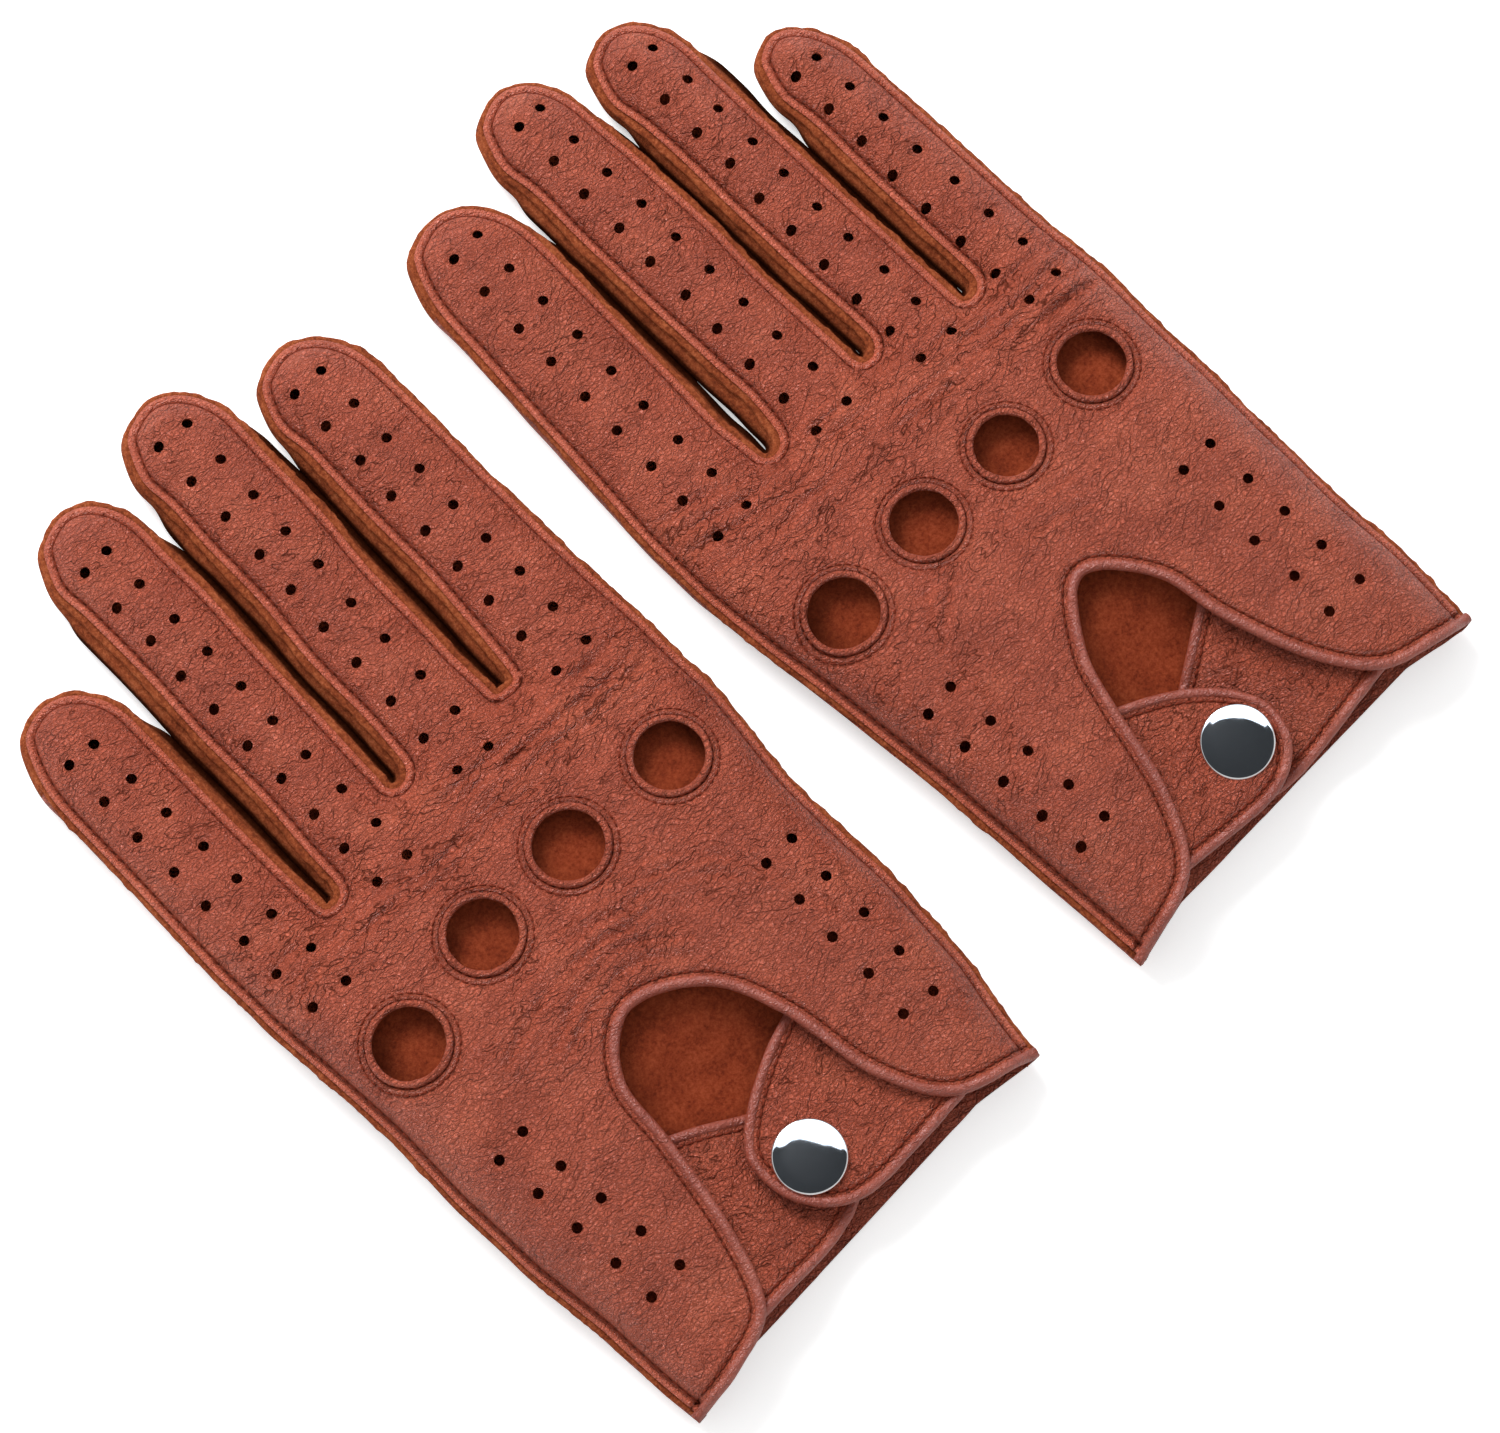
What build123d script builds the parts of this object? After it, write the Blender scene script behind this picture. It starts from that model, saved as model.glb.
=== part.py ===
from build123d import *
import os
from typing import NamedTuple

# A pair of unlined leather driving gloves lying palm down side by side, fingers towards +Y.
# Each glove is drawn in its own plan frame: +X is the thumb side, +Y runs to the fingertips and
# z = 0 is the table.  The right glove is drawn as a left one and mirrored when it is placed.
# All lengths are millimetres.

LEATHER = 1.0

# Finger tubes: a back strip, a palm strip and gusset strips between them.
FINGER_HEIGHT = 12.0
FINGER_ROUNDING = 4.6
GUSSET_LOW = 3.5
GUSSET_HIGH = 8.5
SEAM_Z = 6.0
TIP_SEAM_HALF = 3.0
FINGER_HINGE_Z = 4.0
ROOT_GAP = 0.3
BACK_GAP = 1.5
PALM_GAP = 4.3

# Hand tube.
HAND_ROUNDING = 4.4
HAND_SEAM_Z = 8.6
WEB_SLOT = 1.6
WEB_WALL_GAP = 4.5

# Rolled piping round the wrist opening and facings round the knuckle holes.
PIPING_WIDTH = 2.0
PIPING_PROUD = 0.6
FACING_ROLL = 1.2
FACING_RADIUS = 10.8
FACING_THICKNESS = 0.8
HEM_WIDTH = 9.0

# Closing tabs and the press snap that joins them.
TAB_THICKNESS = 1.6
TAB_Z = 10.4
STUD_TAB_DROP = 4.3
TAB_HINGE_HALF_GAP = 1.1
TAB_HINGE_Z = TAB_Z + TAB_THICKNESS / 2
TAB_ROOT_REACH = 3.4
CAP_RADIUS = 7.5
CAP_EDGE = 0.7
CAP_HEIGHT = 1.8
SOCKET_RADIUS = 5.25
SOCKET_HEIGHT = 2.0
SOCKET_BORE = 2.5
STUD_FLANGE_RADIUS = 4.6
STUD_FLANGE = 0.6
KNOB_RADIUS = 2.1
KNOB_HEIGHT = 1.6
POST_RADIUS = 1.2
POST_FLANGE_RADIUS = 4.2

# Thumb, folded flat under the palm.
THUMB_HEIGHT = 5.4
THUMB_ROUNDING = 2.3
THUMB_HINGE_Z = 5.7

# Sizes for cutting tools that reach past the whole glove.
TALL = 80.0
EVERYWHERE = (-2 * TALL, 2 * TALL)


class Finger(NamedTuple):
    """Plan of one finger: root edge, start of the rounded tip, and how far the tip reaches."""

    hinge_y: float
    root_x: float
    root_width: float
    end_x: float
    end_width: float
    end_y: float
    tip_y: float


class Lay(NamedTuple):
    """How one glove lies: its plan outlines and where it sits in the pair."""

    name: str
    mirrored: bool
    yaw: float
    origin: tuple
    fingers: dict
    webs: list
    sections: list
    wrist: tuple
    opening: list
    knuckles: list
    thumb_base: tuple
    thumb_angle: float
    snap: tuple
    snap_tab: list
    snap_hinge: tuple
    stud_tab: list
    stud_hinge: tuple
    stud_ramp: tuple


# Hand sections run from the fingers to the wrist: y, little side x, thumb side x, bottom, top.
LEFT = Lay(
    name="left",
    mirrored=False,
    yaw=-1.5,
    origin=(-67.616, -3.939),
    fingers={
        "little": Finger(18.0, -34.9, 26.4, -35.9, 24.8, 67.0, 84.0),
        "ring": Finger(27.0, -8.1, 24.6, -8.3, 25.2, 94.0, 111.0),
        "middle": Finger(28.0, 18.2, 26.2, 19.7, 26.0, 99.0, 117.0),
        "index": Finger(27.0, 48.5, 29.0, 47.3, 26.6, 89.0, 106.5),
    },
    webs=[(-21.0, 10.5), (4.6, 18.5), (32.7, 18.0)],
    sections=[
        (30.0, -48.1, 63.1, 0.0, 12.0),
        (12.0, -47.8, 64.0, 3.4, 14.0),
        (-6.0, -46.2, 64.4, 6.0, 17.0),
        (-30.0, -43.9, 62.4, 6.2, 17.6),
        (-56.0, -43.4, 63.5, 6.1, 16.6),
        (-76.0, -40.3, 62.9, 3.6, 15.4),
        (-94.0, -38.5, 61.5, 1.7, 14.4),
        (-112.0, -36.4, 59.2, 0.6, 13.6),
    ],
    wrist=((-36.5, -109.5), (59.5, -103.3)),
    opening=[
        (-40.0, -109.9), (-25.0, -107.8), (-13.0, -102.6), (-7.5, -87.5), (-4.6, -67.5),
        (-3.0, -52.0), (7.0, -43.3), (21.0, -50.0), (28.0, -64.0), (32.5, -84.0),
        (41.8, -98.0), (64.0, -103.0),
    ],
    knuckles=[(-28.7, -19.0, 7.3), (-3.9, -12.8, 7.2), (20.2, -11.1, 7.3), (46.7, -11.4, 7.1)],
    thumb_base=(49.0, -54.0),
    thumb_angle=26.0,
    snap=(13.0, -87.2),
    snap_tab=[
        (29.0, -63.8), (20.7, -66.7), (10.7, -72.5), (4.0, -84.2), (9.8, -96.7), (18.0, -100.2),
        (46.0, -98.9),
    ],
    snap_hinge=((24.2, -66.6), (33.0, -99.0)),
    stud_tab=[
        (-6.0, -64.9), (9.0, -72.0), (20.0, -79.0), (24.0, -87.5), (18.0, -97.0),
        (6.0, -102.0), (-15.0, -103.3),
    ],
    stud_hinge=((-1.0, -68.0), (-6.5, -101.0)),
    stud_ramp=(-2.5, 8.0),
)

RIGHT = Lay(
    name="right",
    mirrored=True,
    yaw=1.5,
    origin=(52.084, -7.399),
    fingers={
        "little": Finger(18.0, -50.5, 22.6, -50.9, 21.4, 70.0, 87.0),
        "ring": Finger(26.0, -26.25, 22.7, -27.5, 23.4, 94.0, 111.5),
        "middle": Finger(28.0, -1.25, 25.5, -2.2, 25.3, 100.0, 118.0),
        "index": Finger(27.0, 30.15, 29.8, 26.0, 27.6, 91.0, 108.5),
    },
    webs=[(-38.4, 11.0), (-14.5, 17.5), (13.4, 18.5)],
    sections=[
        (30.0, -61.8, 45.1, 0.0, 12.0),
        (12.0, -62.2, 45.7, 3.4, 14.0),
        (-6.0, -61.5, 44.6, 6.0, 17.0),
        (-30.0, -60.5, 42.7, 6.2, 17.6),
        (-56.0, -59.5, 40.2, 6.1, 16.6),
        (-76.0, -59.7, 39.6, 3.6, 15.4),
        (-92.0, -60.2, 39.1, 1.7, 14.4),
        (-108.0, -58.8, 38.0, 0.6, 13.6),
    ],
    wrist=((-59.0, -101.5), (38.3, -101.9)),
    opening=[
        (-64.0, -101.9), (-50.0, -100.3), (-37.0, -96.0), (-28.2, -84.0), (-21.8, -66.0),
        (-19.0, -51.5), (-9.0, -40.8), (1.2, -51.0), (5.5, -62.5), (11.0, -82.5),
        (20.0, -96.4), (43.0, -102.5),
    ],
    knuckles=[(-42.9, -11.9, 7.0), (-18.4, -11.4, 6.6), (4.6, -10.6, 7.0), (28.9, -11.9, 7.3)],
    thumb_base=(29.6, -54.0),
    thumb_angle=24.0,
    snap=(-6.2, -85.2),
    snap_tab=[
        (7.0, -62.4), (-4.0, -68.3), (-12.0, -75.5), (-16.0, -85.8), (-10.7, -95.0), (-1.0, -97.6),
        (26.0, -94.8),
    ],
    snap_hinge=((3.0, -64.0), (12.0, -96.7)),
    stud_tab=[
        (-22.5, -60.0), (-6.5, -70.0), (2.5, -77.0), (5.5, -85.5), (1.0, -93.5),
        (-10.0, -98.0), (-39.0, -95.8),
    ],
    stud_hinge=((-17.4, -64.4), (-28.4, -95.9)),
    stud_ramp=(-20.5, -11.3),
)

LAYS = (LEFT, RIGHT)


# Shapes drawn into whichever builder is open.

def finger_outline(finger, inset, root_y):
    """Closed plan line of a finger: straight sides, elliptical tip, straight root edge."""
    half_root = finger.root_width / 2 - inset
    half_end = finger.end_width / 2 - inset
    tip_length = finger.tip_y - inset - finger.end_y
    root_left = (finger.root_x - half_root, root_y)
    root_right = (finger.root_x + half_root, root_y)
    end_left = (finger.end_x - half_end, finger.end_y)
    end_right = (finger.end_x + half_end, finger.end_y)
    Line(root_left, end_left)
    EllipticalCenterArc((finger.end_x, finger.end_y), half_end, tip_length, 0, arc_size=180)
    Line(end_right, root_right)
    Line(root_right, root_left)


def opening_outline(lay, outset):
    """Closed plan line of the wrist opening, let out sideways and upwards by outset."""
    peak_x = lay.opening[6][0]
    points = []
    for x, y in lay.opening:
        reach = max(-1.0, min(1.0, (x - peak_x) / 14.0))
        lift = 1.0 - 0.55 * abs(reach)
        points.append((x + outset * reach, y + outset * lift))
    floor_y = -TALL * 2
    Spline(*points)
    Line(points[-1], (points[-1][0], floor_y))
    Line((points[-1][0], floor_y), (points[0][0], floor_y))
    Line((points[0][0], floor_y), points[0])


def block(x_range, y_range, z_range, mode):
    """Axis-aligned block between the given limits."""
    middle = [(low + high) / 2 for low, high in (x_range, y_range, z_range)]
    size = [high - low for low, high in (x_range, y_range, z_range)]
    with Locations(tuple(middle)):
        Box(*size, mode=mode)


# Blanks: whole shapes that the pieces are cut from.

def finger_blank(finger, height, rounding, inset, root_y):
    """Rounded finger-shaped solid, pulled in on every face by inset."""
    with BuildPart() as blank:
        with BuildSketch(Plane.XY.offset(inset)):
            with BuildLine():
                finger_outline(finger, inset, root_y)
            make_face()
        extrude(amount=height - 2 * inset)
        ends = blank.faces().sort_by(Axis.Z)
        rims = ends[0].edges() + ends[-1].edges()
        rims = rims.filter_by(lambda edge: edge.center().Y > root_y + 0.01)
        fillet(rims, rounding - inset)
    return blank.part


def finger_tube(finger, height, rounding, root_y):
    """Leather tube of a finger, open at the root."""
    outer = finger_blank(finger, height, rounding, 0.0, root_y)
    inner = finger_blank(finger, height, rounding, LEATHER, root_y - 1.0)
    with BuildPart() as tube:
        add(outer)
        add(inner, mode=Mode.SUBTRACT)
    return tube.part


def hand_blank(lay, grow):
    """Solid of the whole hand, let out on every side by grow."""
    with BuildPart() as blank:
        for y, x_little, x_thumb, z_low, z_high in lay.sections:
            middle = ((x_little + x_thumb) / 2, y, (z_low + z_high) / 2)
            width = x_thumb - x_little + 2 * grow
            height = z_high - z_low + 2 * grow
            with BuildSketch(Plane(origin=middle, x_dir=(1, 0, 0), z_dir=(0, -1, 0))):
                RectangleRounded(width, height, HAND_ROUNDING + grow)
        loft()
    return blank.part


def wrist_blank(lay):
    """Everything beyond the wrist edge."""
    (x_left, y_left), (x_right, y_right) = lay.wrist
    slope = (y_right - y_left) / (x_right - x_left)
    margin = 20.0
    with BuildPart() as blank:
        with BuildSketch():
            Polygon(
                (x_left - margin, y_left - margin * slope),
                (x_right + margin, y_right + margin * slope),
                (x_right + margin, y_right - TALL),
                (x_left - margin, y_left - TALL),
                align=None,
            )
        extrude(amount=TALL, both=True)
    return blank.part


def front_blank(lay, gap):
    """Everything beyond the finger roots, with a slot down to each web."""
    edges = [-TALL * 2] + [x for x, y in lay.webs] + [TALL * 2]
    with BuildPart() as blank:
        for index, finger in enumerate(lay.fingers.values()):
            y_range = (finger.hinge_y - gap, TALL)
            block((edges[index], edges[index + 1]), y_range, (-TALL, TALL), Mode.ADD)
        for x, y in lay.webs:
            half = WEB_SLOT / 2
            block((x - half, x + half), (y + half, TALL), (-TALL, TALL), Mode.ADD)
            with Locations((x, y + half, 0)):
                Cylinder(half, 2 * TALL)
    return blank.part


def opening_blank(lay, outset):
    """Upright prism through the wrist opening."""
    with BuildPart() as blank:
        with BuildSketch(Plane.XY.offset(HAND_SEAM_Z)):
            with BuildLine():
                opening_outline(lay, outset)
            make_face()
        extrude(amount=TALL)
    return blank.part


def knuckle_blank(lay, grow, radius=None):
    """Upright pins through the knuckle holes."""
    with BuildPart() as blank:
        for x, y, hole_radius in lay.knuckles:
            with Locations((x, y, HAND_SEAM_Z + TALL / 2)):
                Cylinder(radius if radius else hole_radius + grow, TALL)
    return blank.part


def tab_blank(outline, z_low, thickness):
    """Flat tab: a smooth outline closed by a straight root edge."""
    with BuildPart() as blank:
        with BuildSketch(Plane.XY.offset(z_low)):
            with BuildLine():
                Spline(*outline)
                Line(outline[-1], outline[0])
            make_face()
        extrude(amount=thickness)
    return blank.part


def hinge_side(hinge, gap, towards_thumb):
    """Half space beside a tab's fold line, starting gap away from it."""
    (x0, y0), (x1, y1) = hinge
    along = Vector(x1 - x0, y1 - y0, 0).normalized()
    across = Vector(-along.Y, along.X, 0)
    if (across.X > 0) != towards_thumb:
        across = -across
    near = gap
    far = gap + 2 * TALL
    start = Vector(x0, y0, 0) - along * TALL
    stop = Vector(x1, y1, 0) + along * TALL
    with BuildPart() as blank:
        with BuildSketch():
            Polygon(
                tuple(start + across * near),
                tuple(stop + across * near),
                tuple(stop + across * far),
                tuple(start + across * far),
                align=None,
            )
        extrude(amount=TALL, both=True)
    return blank.part


# Pieces.

def finger_pieces(name, finger):
    """Back strip, palm strip and gusset strips of one finger."""
    root_y = finger.hinge_y + ROOT_GAP
    outer = finger_blank(finger, FINGER_HEIGHT, FINGER_ROUNDING, 0.0, root_y)
    inner = finger_blank(finger, FINGER_HEIGHT, FINGER_ROUNDING, LEATHER, root_y - 1.0)
    zones = []
    if name != "little":
        zones.append((-TALL * 2, finger.end_x - TIP_SEAM_HALF))
    if name != "index":
        zones.append((finger.end_x + TIP_SEAM_HALF, TALL * 2))
    with BuildPart() as back:
        add(outer)
        block(EVERYWHERE, EVERYWHERE, (-TALL, SEAM_Z), Mode.SUBTRACT)
        for zone in zones:
            block(zone, EVERYWHERE, (SEAM_Z - 1, GUSSET_HIGH), Mode.SUBTRACT)
        add(inner, mode=Mode.SUBTRACT)
    with BuildPart() as palm:
        add(outer)
        block(EVERYWHERE, EVERYWHERE, (SEAM_Z, TALL), Mode.SUBTRACT)
        for zone in zones:
            block(zone, EVERYWHERE, (GUSSET_LOW, SEAM_Z + 1), Mode.SUBTRACT)
        add(inner, mode=Mode.SUBTRACT)
    with BuildPart() as gussets:
        for zone in zones:
            block(zone, EVERYWHERE, (GUSSET_LOW, GUSSET_HIGH), Mode.ADD)
        add(finger_tube(finger, FINGER_HEIGHT, FINGER_ROUNDING, root_y), mode=Mode.INTERSECT)
    return {
        f"{name}_finger_back": back.part,
        f"{name}_finger_palm": palm.part,
        f"{name}_finger_gussets": gussets.part,
    }


def hand_pieces(lay):
    """Back and palm panels with the parts sewn to them."""
    outer = hand_blank(lay, 0.0)
    inner = hand_blank(lay, -LEATHER)
    beyond_wrist = wrist_blank(lay)
    with BuildPart() as back:
        add(outer)
        add(inner, mode=Mode.SUBTRACT)
        split(bisect_by=Plane.XY.offset(HAND_SEAM_Z), keep=Keep.TOP)
        add(beyond_wrist, mode=Mode.SUBTRACT)
        add(front_blank(lay, BACK_GAP), mode=Mode.SUBTRACT)
        add(opening_blank(lay, PIPING_WIDTH), mode=Mode.SUBTRACT)
        add(knuckle_blank(lay, FACING_ROLL), mode=Mode.SUBTRACT)
    with BuildPart() as palm:
        add(outer)
        add(inner, mode=Mode.SUBTRACT)
        split(bisect_by=Plane.XY.offset(HAND_SEAM_Z), keep=Keep.BOTTOM)
        add(beyond_wrist, mode=Mode.SUBTRACT)
        add(front_blank(lay, PALM_GAP), mode=Mode.SUBTRACT)
    with BuildPart() as binding:
        add(hand_blank(lay, PIPING_PROUD))
        add(hand_blank(lay, -LEATHER - PIPING_PROUD), mode=Mode.SUBTRACT)
        add(opening_blank(lay, PIPING_WIDTH), mode=Mode.INTERSECT)
        add(opening_blank(lay, 0.0), mode=Mode.SUBTRACT)
        add(beyond_wrist, mode=Mode.SUBTRACT)
        low_side = (-TALL, HAND_SEAM_Z + PIPING_PROUD)
        block(EVERYWHERE, EVERYWHERE, low_side, Mode.SUBTRACT)
    lining = hand_blank(lay, -LEATHER - FACING_THICKNESS)
    with BuildPart() as facings:
        add(hand_blank(lay, FACING_ROLL / 2))
        add(inner, mode=Mode.SUBTRACT)
        add(knuckle_blank(lay, FACING_ROLL), mode=Mode.INTERSECT)
    with BuildPart() as facing_backs:
        add(inner)
        add(lining, mode=Mode.SUBTRACT)
        add(knuckle_blank(lay, 0.0, FACING_RADIUS), mode=Mode.INTERSECT)
    with BuildPart() as rings:
        add(facings.part)
        add(facing_backs.part)
        add(knuckle_blank(lay, 0.0), mode=Mode.SUBTRACT)
    (x_left, y_left), (x_right, y_right) = lay.wrist
    with BuildPart() as hem:
        add(inner)
        add(lining, mode=Mode.SUBTRACT)
        split(bisect_by=Plane.XY.offset(HAND_SEAM_Z - LEATHER), keep=Keep.BOTTOM)
        y_range = (-TALL * 2, max(y_left, y_right) + HEM_WIDTH)
        block(EVERYWHERE, y_range, (-TALL, TALL), Mode.INTERSECT)
        add(beyond_wrist, mode=Mode.SUBTRACT)
    hinges = [finger.hinge_y for finger in lay.fingers.values()]
    with BuildPart() as webs:
        for index, (x, y) in enumerate(lay.webs):
            half = WEB_SLOT / 2
            wall_end = min(hinges[index], hinges[index + 1]) - WEB_WALL_GAP
            wall_half = half + LEATHER
            block((x - wall_half, x + wall_half), (y + half, wall_end), (-TALL, TALL), Mode.ADD)
            with Locations((x, y + half, 0)):
                Cylinder(wall_half, 2 * TALL)
            block((x - half, x + half), (y + half, TALL), (-TALL, TALL), Mode.SUBTRACT)
            with Locations((x, y + half, 0)):
                Cylinder(half, 2 * TALL, mode=Mode.SUBTRACT)
        add(inner, mode=Mode.INTERSECT)
    return {
        "back_panel": back.part,
        "palm_panel": palm.part,
        "opening_piping": binding.part,
        "knuckle_facings": rings.part,
        "wrist_hem": hem.part,
        "web_gussets": webs.part,
    }


def stud_tab_blank(lay):
    """Stud tab: level at its fold, then dipping so the snap lies flat under the upper tab."""
    ramp_start, ramp_end = lay.stud_ramp
    low_z = TAB_Z - STUD_TAB_DROP
    with BuildPart() as blank:
        with BuildSketch(Plane.XZ):
            with BuildLine():
                for z in (TAB_Z, TAB_Z + TAB_THICKNESS):
                    low = z - STUD_TAB_DROP
                    Line((ramp_start - TALL, z), (ramp_start, z))
                    Spline((ramp_start, z), (ramp_end, low), tangents=[(1, 0), (1, 0)])
                    Line((ramp_end, low), (ramp_end + TALL, low))
                far_left = ramp_start - TALL
                far_right = ramp_end + TALL
                Line((far_left, TAB_Z), (far_left, TAB_Z + TAB_THICKNESS))
                Line((far_right, low_z), (far_right, low_z + TAB_THICKNESS))
            make_face()
        extrude(amount=TALL * 2)
        add(tab_blank(lay.stud_tab, 0.0, TALL), mode=Mode.INTERSECT)
    return blank.part


def tab_pieces(lay):
    """The two closing tabs, their sewn roots and the four snap pieces."""
    x, y = lay.snap
    upper = tab_blank(lay.snap_tab, TAB_Z, TAB_THICKNESS)
    lower = stud_tab_blank(lay)
    low_z = TAB_Z - STUD_TAB_DROP
    with BuildPart() as snap_tab:
        add(upper)
        add(hinge_side(lay.snap_hinge, 0.0, False), mode=Mode.INTERSECT)
        with Locations((x, y, TAB_Z)):
            Cylinder(POST_RADIUS, TALL, mode=Mode.SUBTRACT)
    with BuildPart() as stud_tab:
        add(lower)
        add(hinge_side(lay.stud_hinge, 0.0, True), mode=Mode.INTERSECT)
        with Locations((x, y, low_z)):
            Cylinder(POST_RADIUS, TALL, mode=Mode.SUBTRACT)
    with BuildPart() as snap_root:
        add(upper)
        add(hinge_side(lay.snap_hinge, TAB_HINGE_HALF_GAP, True), mode=Mode.INTERSECT)
    with BuildPart() as stud_root:
        add(lower)
        add(hinge_side(lay.stud_hinge, TAB_HINGE_HALF_GAP, False), mode=Mode.INTERSECT)
    with BuildPart() as roots:
        add(snap_root.part)
        add(stud_root.part)
        add(opening_blank(lay, TAB_ROOT_REACH), mode=Mode.INTERSECT)
    crown = CAP_HEIGHT - CAP_EDGE
    dome_radius = (CAP_RADIUS**2 + crown**2) / (2 * crown)
    with BuildPart() as cap:
        with Locations((0, 0, CAP_HEIGHT / 2)):
            Cylinder(CAP_RADIUS, CAP_HEIGHT)
        with Locations((0, 0, CAP_HEIGHT - dome_radius)):
            Sphere(dome_radius, mode=Mode.INTERSECT)
        with Locations((0, 0, -TAB_THICKNESS / 2)):
            Cylinder(POST_RADIUS, TAB_THICKNESS)
    with BuildPart() as socket:
        with Locations((0, 0, -SOCKET_HEIGHT / 2)):
            Cylinder(SOCKET_RADIUS, SOCKET_HEIGHT)
        bore_depth = KNOB_HEIGHT + 0.2
        with Locations((0, 0, -SOCKET_HEIGHT + bore_depth / 2)):
            Cylinder(SOCKET_BORE, bore_depth, mode=Mode.SUBTRACT)
    with BuildPart() as stud:
        with Locations((0, 0, STUD_FLANGE / 2)):
            Cylinder(STUD_FLANGE_RADIUS, STUD_FLANGE)
        with Locations((0, 0, STUD_FLANGE + KNOB_HEIGHT / 2)):
            Cylinder(KNOB_RADIUS, KNOB_HEIGHT)
        fillet(stud.edges().sort_by(Axis.Z)[-1], 0.5)
    with BuildPart() as post:
        with Locations((0, 0, -STUD_FLANGE / 2)):
            Cylinder(POST_FLANGE_RADIUS, STUD_FLANGE)
        with Locations((0, 0, TAB_THICKNESS / 2)):
            Cylinder(POST_RADIUS, TAB_THICKNESS)
    return {
        "tab_roots": roots.part,
        "snap_tab": snap_tab.part,
        "snap_cap": Pos(x, y, TAB_Z + TAB_THICKNESS) * cap.part,
        "snap_socket": Pos(x, y, TAB_Z) * socket.part,
        "stud_tab": stud_tab.part,
        "snap_stud": Pos(x, y, low_z + TAB_THICKNESS) * stud.part,
        "snap_post": Pos(x, y, low_z) * post.part,
    }


def thumb_pieces(lay):
    """Thumb tube split into its front and back at the seam, folded under the palm."""
    outline = Finger(0.0, 0.0, 25.0, 0.0, 21.0, 36.0, 52.0)
    tube = finger_tube(outline, THUMB_HEIGHT, THUMB_ROUNDING, ROOT_GAP)
    with BuildPart() as upper:
        add(tube)
        block(EVERYWHERE, EVERYWHERE, (-TALL, THUMB_HEIGHT / 2), Mode.SUBTRACT)
    with BuildPart() as lower:
        add(tube)
        block(EVERYWHERE, EVERYWHERE, (THUMB_HEIGHT / 2, TALL), Mode.SUBTRACT)
    place = Pos(*lay.thumb_base, 0) * Rot(0, 0, lay.thumb_angle)
    return {
        "thumb_front": place * upper.part,
        "thumb_back": place * lower.part,
    }


def save(lay, name, piece):
    """Put one piece where it lies in the pair and write it."""
    if lay.mirrored:
        piece = mirror(piece, about=Plane.YZ)
    piece = Pos(*lay.origin, 0) * Rot(0, 0, lay.yaw) * piece
    piece.label = f"{lay.name}_{name}"
    export_step(piece, f"parts/{piece.label}.step")
    return piece


def main():
    os.makedirs("parts", exist_ok=True)
    boxes = []
    for lay in LAYS:
        pieces = hand_pieces(lay)
        pieces.update(tab_pieces(lay))
        pieces.update(thumb_pieces(lay))
        for name, finger in lay.fingers.items():
            pieces.update(finger_pieces(name, finger))
        for name, piece in pieces.items():
            placed = save(lay, name, piece)
            boxes.append(placed.bounding_box())
            print(placed.label, len(placed.solids()), "solids, volume", round(placed.volume, 1))
    low = [min(getattr(box.min, axis) for box in boxes) for axis in "XYZ"]
    high = [max(getattr(box.max, axis) for box in boxes) for axis in "XYZ"]
    print("box", [round(value, 3) for value in low], [round(value, 3) for value in high])


if __name__ == "__main__":
    main()
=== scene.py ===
import math
import bpy
import numpy as np
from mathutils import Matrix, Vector
from mathutils.geometry import delaunay_2d_cdt
from mathutils.kdtree import KDTree


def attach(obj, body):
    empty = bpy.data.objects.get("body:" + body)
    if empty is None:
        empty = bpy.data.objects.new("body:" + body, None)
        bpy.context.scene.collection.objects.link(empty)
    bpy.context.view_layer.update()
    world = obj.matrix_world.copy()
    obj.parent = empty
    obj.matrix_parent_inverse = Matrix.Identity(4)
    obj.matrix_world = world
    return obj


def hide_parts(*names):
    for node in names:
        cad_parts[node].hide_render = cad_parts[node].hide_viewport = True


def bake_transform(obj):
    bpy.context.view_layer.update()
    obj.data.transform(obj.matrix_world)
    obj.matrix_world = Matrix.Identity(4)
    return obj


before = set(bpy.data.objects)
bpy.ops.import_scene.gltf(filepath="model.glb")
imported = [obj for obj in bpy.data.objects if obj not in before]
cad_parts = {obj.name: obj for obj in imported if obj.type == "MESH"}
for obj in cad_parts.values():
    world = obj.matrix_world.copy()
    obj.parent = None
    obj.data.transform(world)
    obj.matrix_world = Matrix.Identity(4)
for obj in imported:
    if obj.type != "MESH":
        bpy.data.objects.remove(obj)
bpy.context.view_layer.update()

MM = 0.001

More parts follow.
